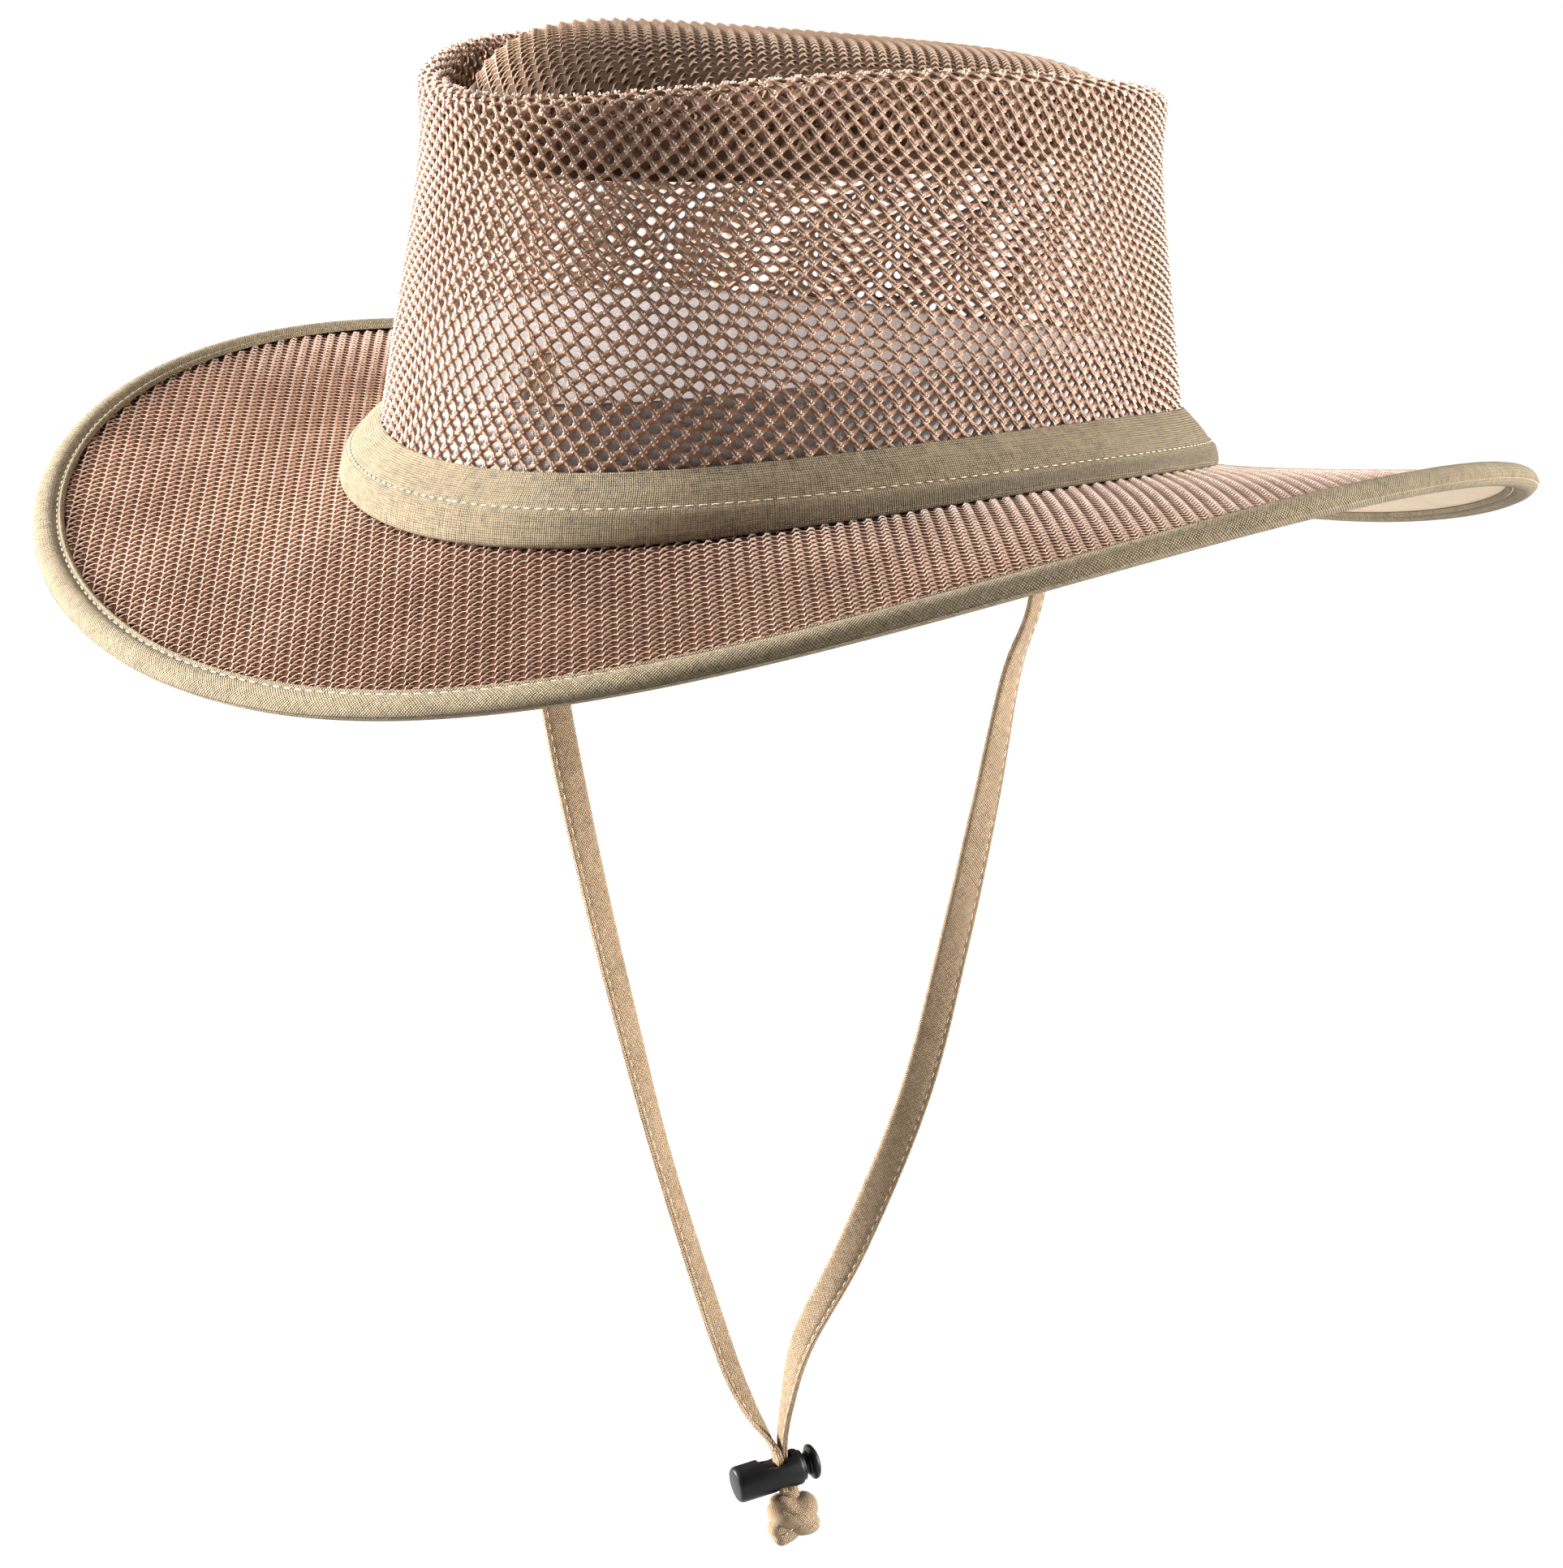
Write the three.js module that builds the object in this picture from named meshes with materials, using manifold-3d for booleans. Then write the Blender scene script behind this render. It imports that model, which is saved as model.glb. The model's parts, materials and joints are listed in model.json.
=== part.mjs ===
// An outback hat: an open net crown with a rolled oval rim and a domed top, a wide brim that
// dips at the front and the back, a canvas band and edge binding, and a chin strap with a cord lock.
// Millimetres, +Z up. The front of the hat is -Y. The origin is the middle of the head opening,
// at the foot of the crown. The turn round the hat is 0 at the front and 90 degrees at +X.
import * as THREE from 'three';
import Module from 'manifold-3d';
import { mergeVertices } from 'three/addons/utils/BufferGeometryUtils.js';

const wasm = await Module();
wasm.setup();

// Head oval at the foot of the crown, for a 58 cm head
const footHalfLength = 103;
const footHalfWidth = 86.2;
const footSideRise = 4.75;
const footFrontRise = 0.7;

// Oval rim at the top of the crown, measured along its crest
const rimHalfLength = 101.9;
const rimHalfWidth = 63.8;
const rimBack = 3.6;
const rimHeight = 90;
const rimFrontRise = 6.1;
const rimEndDrop = 4.6;
const rimFrontDent = 0.86;
const rollRadius = 3;
const rollDepth = 4;

// Net wall of the crown
const netThick = 1.6;
const wallWaist = [
  { height: 0, inward: 0 },
  { height: 0.4, inward: 0.9 },
  { height: 0.68, inward: 1.6 },
  { height: 0.86, inward: 1.5 },
  { height: 1, inward: 0 },
];
const gapRows = [0.26, 0.4, 0.54, 0.68];
const gapsPerRow = 20;
const gapHalfWidth = 12;
const gapHalfHeight = 9.4;

// Domed top of the crown
const valleyHeight = 75;
const valleyInset = 7;
const tipThick = 1.8;
const tipMiddleHeight = 99.3;
const tipBackFall = 0.104;
const tipRings = [1, 0.96, 0.88, 0.75, 0.5, 0.25];
const tipSharpness = 5;
const tipRoundness = 2.5;

// Brim, measured from the foot of the crown to the outside of the binding
const brimWidth = 82.5;
const brimEndNarrowing = 5.6;
const brimThick = 2.2;
const brimRootDrop = 0.9;
const brimSlope = { mean: -8.28, front: -4.87, ends: -12.96, third: 0.28, fourth: -0.82 };

// Canvas tape round the brim's edge
const bindingWidth = 7.5;
const bindingThick = 5.6;
const bindingSlotDepth = 5.2;

// Canvas band round the foot of the crown
const bandHeight = 11.4;
const bandFlare = 7.8;
const bandThick = 1.5;

// Fabric band inside the foot of the crown
const sweatbandThick = 1.2;
const sweatbandHeight = 26;

// Folded tape of the chin strap
const strapWidth = 7.6;
const strapThick = 1.6;

// Cord lock
const lockCentre = new THREE.Vector3(5.2, 0, -245);
const lockAzimuth = 63.2;
const lockTilt = 12.7;
const barrelRadius = 4.5;
const barrelLeft = -12.5;
const barrelRight = 5;
const barrelChamfer = 0.7;
const boreRadius = 3.4;
const boreLeft = -9;
const strapSlotLong = 4.4;
const strapSlotWide = 5;
const plungerRadius = 3.1;
const plungerLeft = -4.8;
const plungerTravel = 1.5;
const plungerSlotWide = 4.8;
const buttonLeft = 6.8;
const buttonRight = 9.2;
const buttonRadius = 4.35;
const lockedHalfWidth = 2.1;
const lockedThick = 1.7;
const lockedApart = 1;

// Knot under the cord lock
const knotDrop = 11;
const knotHalf = new THREE.Vector3(6.7, 5.4, 5.8);
const tailLong = 6.5;

// Clearance between neighbouring pieces
const gap = 0.3;

// Facets round the crown and round the brim
const crownStations = 40;
const brimStations = 48;
const strapSteps = 29;
const roundSides = 18;

const radians = THREE.MathUtils.degToRad;

// Ovals and heights round the hat

function oval(halfLength, halfWidth, back, turn, outward) {
  const x = halfWidth * Math.sin(turn);
  const y = -halfLength * Math.cos(turn);
  const normal = new THREE.Vector2(x / halfWidth ** 2, y / halfLength ** 2).normalize();
  return new THREE.Vector3(x + normal.x * outward, y + back + normal.y * outward, 0);
}

function footHeight(turn) {
  return footFrontRise * Math.cos(turn) - footSideRise * Math.cos(2 * turn);
}

function crestHeight(turn) {
  return rimHeight + rimFrontRise * Math.cos(turn) - rimEndDrop * Math.cos(2 * turn)
    - rimFrontDent * Math.cos(3 * turn);
}

function footPoint(turn, outward, rise) {
  const point = oval(footHalfLength, footHalfWidth, 0, turn, outward);
  point.z = footHeight(turn) + rise;
  return point;
}

function rimPoint(turn, outward, rise) {
  const point = oval(rimHalfLength, rimHalfWidth, rimBack, turn, outward);
  point.z = crestHeight(turn) + rise;
  return point;
}

function waistAt(height) {
  const upper = Math.max(1, wallWaist.findIndex((row) => row.height >= height));
  const low = wallWaist[upper - 1];
  const high = wallWaist[upper];
  const share = (height - low.height) / (high.height - low.height);
  return THREE.MathUtils.lerp(low.inward, high.inward, share);
}

// A point of the crown wall: height runs from 0 at the foot to 1 under the rolled rim
function wallPoint(turn, height, outward) {
  const shift = outward - waistAt(height);
  const low = footPoint(turn, shift, 0);
  const high = rimPoint(turn, rollRadius + shift, -rollDepth);
  return low.lerp(high, height);
}

// The wall's outer surface so many millimetres above the foot
function wallAbove(turn, rise, outward) {
  const wallRise = crestHeight(turn) - rollDepth - footHeight(turn);
  return wallPoint(turn, rise / wallRise, outward);
}

// Closed bodies from rows of points

function bodyFrom(points, triangles) {
  const geometry = new THREE.BufferGeometry();
  const positions = points.flatMap((point) => [point.x, point.y, point.z]);
  geometry.setAttribute('position', new THREE.Float32BufferAttribute(positions, 3));
  let volume = 0;
  for (const [a, b, c] of triangles) {
    volume += points[a].dot(new THREE.Vector3().crossVectors(points[b], points[c]));
  }
  const outward = volume > 0 ? triangles : triangles.map(([a, b, c]) => [a, c, b]);
  geometry.setIndex(outward.flat());
  geometry.computeVertexNormals();
  return geometry;
}

// A closed section carried all the way round the hat
function ringBody(stations, sectionAt) {
  const points = [];
  const triangles = [];
  let size = 0;
  for (let station = 0; station < stations; station += 1) {
    const section = sectionAt((station / stations) * 2 * Math.PI);
    size = section.length;
    points.push(...section);
  }
  for (let station = 0; station < stations; station += 1) {
    const next = (station + 1) % stations;
    for (let side = 0; side < size; side += 1) {
      const a = station * size + side;
      const b = station * size + ((side + 1) % size);
      const c = next * size + ((side + 1) % size);
      const d = next * size + side;
      triangles.push([a, b, c], [a, c, d]);
    }
  }
  return bodyFrom(points, triangles);
}

// An open row of points from the middle above to the middle below, carried round the hat
function capBody(stations, topMiddle, bottomMiddle, rowAt) {
  const points = [topMiddle, bottomMiddle];
  const triangles = [];
  let size = 0;
  for (let station = 0; station < stations; station += 1) {
    const row = rowAt((station / stations) * 2 * Math.PI);
    size = row.length;
    points.push(...row);
  }
  for (let station = 0; station < stations; station += 1) {
    const here = 2 + station * size;
    const next = 2 + ((station + 1) % stations) * size;
    triangles.push([0, here, next], [1, next + size - 1, here + size - 1]);
    for (let step = 0; step < size - 1; step += 1) {
      triangles.push([here + step, here + step + 1, next + step + 1]);
      triangles.push([here + step, next + step + 1, next + step]);
    }
  }
  return bodyFrom(points, triangles);
}

// Closed sections of equal size joined in a row, with both ends capped
function loftBody(sections) {
  const size = sections[0].length;
  const points = sections.flat();
  const triangles = [];
  for (let row = 0; row < sections.length - 1; row += 1) {
    for (let side = 0; side < size; side += 1) {
      const a = row * size + side;
      const b = row * size + ((side + 1) % size);
      triangles.push([a, b, b + size], [a, b + size, a + size]);
    }
  }
  const last = (sections.length - 1) * size;
  for (let side = 1; side < size - 1; side += 1) {
    triangles.push([0, side + 1, side], [last, last + side, last + side + 1]);
  }
  return bodyFrom(points, triangles);
}

function toSolid(geometry) {
  const bare = geometry.clone();
  bare.deleteAttribute('normal');
  bare.deleteAttribute('uv');
  const merged = mergeVertices(bare, 1e-4);
  return new wasm.Manifold(new wasm.Mesh({
    numProp: 3,
    vertProperties: new Float32Array(merged.attributes.position.array),
    triVerts: new Uint32Array(merged.index.array),
  }));
}

function fromSolid(solid) {
  const mesh = solid.getMesh();
  const geometry = new THREE.BufferGeometry();
  geometry.setAttribute('position', new THREE.BufferAttribute(mesh.vertProperties, 3));
  geometry.setIndex(new THREE.BufferAttribute(mesh.triVerts, 1));
  geometry.computeVertexNormals();
  return geometry;
}

// Crown

// The net goes up the outside, over the roll and down again inside it
function crownWallSection(turn) {
  const wallHeights = wallWaist.slice(1).map((row) => row.height);
  const returnFoot = rimPoint(turn, -valleyInset + 1.4, 0);
  returnFoot.z = valleyHeight + gap;
  const returnFootInside = rimPoint(turn, -valleyInset + 1.4 + netThick, 0);
  returnFootInside.z = valleyHeight + gap;
  return [
    footPoint(turn, 0, -brimRootDrop + gap),
    ...wallHeights.map((height) => wallPoint(turn, height, 0)),
    rimPoint(turn, 0.73 * rollRadius, -0.3 * rollDepth),
    rimPoint(turn, 0, 0),
    rimPoint(turn, -0.8 * rollRadius, -0.33 * rollDepth),
    rimPoint(turn, -rollRadius - 0.3, -rollDepth),
    returnFoot,
    returnFootInside,
    rimPoint(turn, -rollRadius + 1.7, -rollDepth - 0.2),
    rimPoint(turn, 0, -netThick - 0.2),
    ...wallHeights.map((height) => wallPoint(turn, height, -netThick)).reverse(),
    footPoint(turn, -netThick, -brimRootDrop + gap),
  ];
}

// One diamond-shaped prism that passes through the wall
function diamondCutter(turn, height) {
  const middle = wallPoint(turn, height, 0);
  const outside = wallPoint(turn, height, 1).sub(middle);
  outside.z = 0;
  outside.normalize();
  const along = new THREE.Vector3(-outside.y, outside.x, 0);
  const corners = [[gapHalfWidth, 0], [0, gapHalfHeight], [-gapHalfWidth, 0], [0, -gapHalfHeight]];
  const face = (depth) => corners.map(([side, rise]) => middle.clone()
    .addScaledVector(along, side)
    .addScaledVector(outside, depth)
    .add(new THREE.Vector3(0, 0, rise)));
  return loftBody([face(-2 * netThick), face(2 * netThick)]);
}

function crownSide() {
  let solid = toSolid(ringBody(crownStations, crownWallSection));
  gapRows.forEach((height, row) => {
    for (let count = 0; count < gapsPerRow; count += 1) {
      const turn = ((count + 0.5 * (row % 2)) / gapsPerRow) * 2 * Math.PI;
      solid = solid.subtract(toSolid(diamondCutter(turn, height)));
    }
  });
  return fromSolid(solid);
}

// The dome's height: share is 0 in the middle and 1 in the valley round it
function tipHeight(y, share) {
  const top = tipMiddleHeight - tipBackFall * y;
  const rise = (1 - share ** tipSharpness) ** (1 / tipRoundness);
  return THREE.MathUtils.lerp(valleyHeight, top, rise);
}

function tipPoint(turn, share) {
  const edge = oval(rimHalfLength, rimHalfWidth, 0, turn, -valleyInset);
  const point = edge.multiplyScalar(share);
  point.y += rimBack;
  point.z = tipHeight(point.y, share);
  return point;
}

function crownTip() {
  const below = (point) => point.clone().add(new THREE.Vector3(0, 0, -tipThick));
  const middle = new THREE.Vector3(0, rimBack, tipHeight(rimBack, 0));
  return capBody(crownStations, middle, below(middle), (turn) => {
    const lip = rimPoint(turn, -valleyInset + 2.8, 0);
    lip.z = valleyHeight;
    const top = tipRings.map((share) => tipPoint(turn, share)).reverse();
    const underside = tipRings.map((share) => {
      const point = tipPoint(turn, share);
      const inner = point.clone();
      inner.x *= 0.97;
      inner.y = rimBack + (point.y - rimBack) * 0.975;
      return below(inner);
    });
    return [...top, lip, below(lip), ...underside];
  });
}

// Brim

function brimEdge(turn) {
  const slope = radians(brimSlope.mean + brimSlope.front * Math.cos(turn)
    + brimSlope.ends * Math.cos(2 * turn) + brimSlope.third * Math.cos(3 * turn)
    + brimSlope.fourth * Math.cos(4 * turn));
  const width = brimWidth - brimEndNarrowing * Math.cos(2 * turn);
  return footPoint(turn, width * Math.cos(slope), width * Math.sin(slope));
}

// A point of the brim: inward is measured back from its edge, lift is square to its surface
function brimPoint(turn, inward, lift) {
  const root = footPoint(turn, 0, -brimRootDrop - brimThick / 2);
  const edge = brimEdge(turn);
  const outward = edge.clone().sub(root).normalize();
  const around = footPoint(turn + 0.01, 0, 0).sub(footPoint(turn - 0.01, 0, 0));
  around.z = 0;
  const normal = new THREE.Vector3().crossVectors(outward, around.normalize());
  if (normal.z < 0) {
    normal.negate();
  }
  return edge.addScaledVector(outward, -inward).addScaledVector(normal, lift);
}

function brim() {
  const half = brimThick / 2;
  const edgeInset = bindingWidth - bindingSlotDepth + gap;
  return ringBody(brimStations, (turn) => [
    footPoint(turn, -netThick, -brimRootDrop),
    footPoint(turn, 0, -brimRootDrop),
    brimPoint(turn, brimWidth / 2, half),
    brimPoint(turn, edgeInset, half),
    brimPoint(turn, edgeInset, -half),
    brimPoint(turn, brimWidth / 2, -half),
    footPoint(turn, 0, -brimRootDrop - brimThick),
    footPoint(turn, -netThick, -brimRootDrop - brimThick),
  ]);
}

// The tape is folded over the brim's edge, so its section is a plump letter U
function brimBinding() {
  const half = bindingThick / 2;
  const slotHalf = brimThick / 2 + gap;
  const slotEnd = bindingWidth - bindingSlotDepth;
  return ringBody(brimStations, (turn) => [
    brimPoint(turn, bindingWidth, 0.66 * half),
    brimPoint(turn, 0.62 * bindingWidth, half),
    brimPoint(turn, 0.17 * bindingWidth, 0.78 * half),
    brimPoint(turn, 0, 0),
    brimPoint(turn, 0.17 * bindingWidth, -0.78 * half),
    brimPoint(turn, 0.62 * bindingWidth, -half),
    brimPoint(turn, bindingWidth, -0.66 * half),
    brimPoint(turn, bindingWidth, -slotHalf),
    brimPoint(turn, slotEnd, -slotHalf),
    brimPoint(turn, slotEnd, slotHalf),
    brimPoint(turn, bindingWidth, slotHalf),
  ]);
}

// Bands

function hatBand() {
  return ringBody(crownStations, (turn) => [
    wallAbove(turn, bandHeight - 0.2, gap),
    wallAbove(turn, bandHeight, bandThick),
    footPoint(turn, 0.54 * bandFlare, 0.6 * bandHeight),
    footPoint(turn, bandFlare, 0.19 * bandHeight),
    footPoint(turn, bandFlare - 0.6, 0.1),
    footPoint(turn, bandFlare - 2.4, 0.14 * bandHeight),
    footPoint(turn, 0.54 * bandFlare - bandThick, 0.5 * bandHeight),
  ]);
}

function sweatband() {
  const outside = -netThick - gap;
  const inside = outside - sweatbandThick;
  return ringBody(crownStations, (turn) => [
    footPoint(turn, outside, -brimRootDrop - brimThick),
    wallAbove(turn, 0, outside),
    wallAbove(turn, sweatbandHeight / 2, outside),
    wallAbove(turn, sweatbandHeight, outside),
    wallAbove(turn, sweatbandHeight, inside),
    wallAbove(turn, sweatbandHeight / 2, inside),
    wallAbove(turn, 0, inside),
    footPoint(turn, inside, -brimRootDrop - brimThick),
  ]);
}

// Cord lock: its own axes are X along the barrel towards the button and Z up along the strap

const lock = new THREE.Group();
lock.position.copy(lockCentre);
lock.rotation.order = 'ZYX';
lock.rotation.z = radians(lockAzimuth);
lock.rotation.y = -radians(lockTilt);
lock.updateMatrixWorld(true);

function inHat(x, y, z) {
  return lock.localToWorld(new THREE.Vector3(x, y, z));
}

// A turned body on the X axis, from rows of distance along the axis and radius
function turnedBody(profile) {
  const outline = profile.map(({ along, radius }) => new THREE.Vector2(radius, along));
  const geometry = new THREE.LatheGeometry(outline, roundSides);
  geometry.rotateZ(-Math.PI / 2);
  return toSolid(geometry);
}

function slotCutter(from, to, wide) {
  const box = new THREE.BoxGeometry(to - from, wide, 4 * barrelRadius);
  box.translate((from + to) / 2, 0, 0);
  return toSolid(box);
}

function toggleBarrel() {
  const body = turnedBody([
    { along: barrelLeft, radius: 0 },
    { along: barrelLeft, radius: barrelRadius - barrelChamfer },
    { along: barrelLeft + barrelChamfer, radius: barrelRadius },
    { along: barrelRight - barrelChamfer, radius: barrelRadius },
    { along: barrelRight, radius: barrelRadius - barrelChamfer },
    { along: barrelRight, radius: boreRadius },
    { along: boreLeft, radius: boreRadius },
    { along: boreLeft, radius: 0 },
  ]);
  const slot = slotCutter(-strapSlotLong / 2, strapSlotLong / 2, strapSlotWide);
  return fromSolid(body.subtract(slot));
}

function togglePlunger() {
  const body = turnedBody([
    { along: plungerLeft, radius: 0 },
    { along: plungerLeft, radius: plungerRadius },
    { along: buttonLeft, radius: plungerRadius },
    { along: buttonLeft, radius: buttonRadius },
    { along: buttonRight - 0.4, radius: buttonRadius },
    { along: buttonRight, radius: buttonRadius - 0.5 },
    { along: buttonRight, radius: 0 },
  ]);
  const strapEdge = lockedApart + lockedThick / 2 + gap;
  const slot = slotCutter(-strapEdge, strapEdge + plungerTravel, plungerSlotWide);
  return fromSolid(body.subtract(slot));
}

// Chin strap: each row gives the middle of the tape and the way that its width points in plan

const strapLeftRows = [
  { x: -78.7, y: 0, z: 16, widthTurn: 90, wide: strapWidth },
  { x: -81.2, y: 0, z: 2, widthTurn: 90, wide: strapWidth },
  { x: -81.8, y: 0, z: -12, widthTurn: 88, wide: strapWidth },
  { x: -79.9, y: 0, z: -44, widthTurn: 74, wide: strapWidth },
  { x: -72.6, y: 0, z: -75, widthTurn: 62, wide: strapWidth },
  { x: -61.3, y: 0, z: -110, widthTurn: 78, wide: strapWidth },
  { x: -48.8, y: 0, z: -144, widthTurn: 90, wide: strapWidth },
  { x: -35, y: 0, z: -178, widthTurn: 100, wide: 7.2 },
  { x: -16, y: 0, z: -216.6, widthTurn: 115, wide: 6.6 },
  { x: -6.5, y: -0.3, z: -231, widthTurn: 136, wide: 5.4 },
];
const strapRightRows = [
  { x: 78.7, y: 0, z: 16, widthTurn: 90, wide: strapWidth },
  { x: 81.2, y: 0, z: 2, widthTurn: 92, wide: strapWidth },
  { x: 81.4, y: 0, z: -9, widthTurn: 100, wide: strapWidth },
  { x: 78.5, y: 0, z: -26, widthTurn: 110, wide: strapWidth },
  { x: 72.1, y: 0, z: -42, widthTurn: 100, wide: strapWidth },
  { x: 65.1, y: 0, z: -73, widthTurn: 78, wide: strapWidth },
  { x: 56, y: 0, z: -109, widthTurn: 58, wide: strapWidth },
  { x: 45, y: 0, z: -146, widthTurn: 43, wide: strapWidth },
  { x: 27, y: 0, z: -184.4, widthTurn: 25, wide: 7.4 },
  { x: 11.3, y: 0, z: -211, widthTurn: 4, wide: 6.6 },
  { x: 6.2, y: 0, z: -228, widthTurn: -17, wide: 5.2 },
];

function lockedRow(side, z, widthTurn) {
  const point = inHat(side * lockedApart, 0, z);
  return { x: point.x, y: point.y, z: point.z, widthTurn, wide: 2 * lockedHalfWidth };
}

function strapBody(rows) {
  const route = new THREE.CatmullRomCurve3(rows.map(({ x, y, z }) => new THREE.Vector3(x, y, z)));
  const profile = new THREE.CatmullRomCurve3(
    rows.map(({ widthTurn, wide }) => new THREE.Vector3(widthTurn, wide, 0)),
  );
  const sections = [];
  for (let step = 0; step <= strapSteps; step += 1) {
    const share = step / strapSteps;
    const middle = route.getPoint(share);
    const tangent = route.getTangent(share);
    const shape = profile.getPoint(share);
    const turn = radians(shape.x);
    const across = new THREE.Vector3(Math.cos(turn), Math.sin(turn), 0);
    across.addScaledVector(tangent, -across.dot(tangent)).normalize();
    const through = new THREE.Vector3().crossVectors(tangent, across);
    const halfWide = shape.y / 2;
    const halfThick = strapThick / 2;
    const corner = 0.35 * strapThick;
    const outline = [
      [halfWide, halfThick - corner], [halfWide - corner, halfThick],
      [corner - halfWide, halfThick], [-halfWide, halfThick - corner],
      [-halfWide, corner - halfThick], [corner - halfWide, -halfThick],
      [halfWide - corner, -halfThick], [halfWide, corner - halfThick],
    ];
    sections.push(outline.map(([side, lift]) => middle.clone()
      .addScaledVector(across, side)
      .addScaledVector(through, lift)));
  }
  return loftBody(sections);
}

const strapEnd = knotHalf.z - knotDrop + gap;
const slotTop = barrelRadius + 1.2;

function strapLeft() {
  const turns = lockAzimuth + 90;
  return strapBody([...strapLeftRows, lockedRow(-1, slotTop, turns), lockedRow(-1, 0, turns),
    lockedRow(-1, strapEnd, turns)]);
}

function strapRight() {
  const turns = lockAzimuth - 90;
  return strapBody([...strapRightRows, lockedRow(1, slotTop, turns), lockedRow(1, 0, turns),
    lockedRow(1, strapEnd, turns)]);
}

// The knot is a tight lump with the strap's stitched end standing out of it
function strapKnot() {
  const lump = new THREE.SphereGeometry(1, 14, 10);
  lump.scale(knotHalf.x, knotHalf.y, knotHalf.z);
  const tail = new THREE.BoxGeometry(tailLong, 4, 2 * strapThick);
  tail.rotateY(radians(25));
  tail.translate(-0.72 * knotHalf.x, 0, -0.75 * knotHalf.z);
  const geometry = fromSolid(toSolid(lump).add(toSolid(tail)));
  geometry.translate(0, 0, -knotDrop);
  return geometry;
}

// Materials

function material(color, roughness, metalness = 0) {
  return new THREE.MeshStandardMaterial({ color, roughness, metalness });
}

const net = material(0xc9a588, 0.85);
const ribbedMesh = material(0xb9927a, 0.88);
const canvas = material(0xb09a76, 0.9);
const tape = material(0xcdb38c, 0.88);
const blackPlastic = material(0x17171a, 0.38);

function piece(name, geometry, look) {
  const mesh = new THREE.Mesh(geometry, look);
  mesh.name = name;
  return mesh;
}

const hat = new THREE.Group();
hat.add(piece('crown_side', crownSide(), net));
hat.add(piece('crown_tip', crownTip(), ribbedMesh));
hat.add(piece('brim', brim(), ribbedMesh));
hat.add(piece('brim_binding', brimBinding(), canvas));
hat.add(piece('hat_band', hatBand(), canvas));
hat.add(piece('sweatband', sweatband(), tape));
hat.add(piece('strap_left', strapLeft(), tape));
hat.add(piece('strap_right', strapRight(), tape));
lock.add(piece('toggle_barrel', toggleBarrel(), blackPlastic));
lock.add(piece('toggle_plunger', togglePlunger(), blackPlastic));
lock.add(piece('strap_knot', strapKnot(), tape));
hat.add(lock);

export default hat;
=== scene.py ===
# %% [markdown]
# # An outback hat, dressed
#
# The hat is a net crown with a rolled oval rim, a wide brim that dips at the front and the back,
# canvas tape round the edges, and a chin strap with a cord lock. The solids come from the packed
# model, which fixes every size. This script gives each piece its real surface: thread by thread
# where light comes through, and weave and stitches where it does not.

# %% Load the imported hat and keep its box
import json
import math

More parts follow.
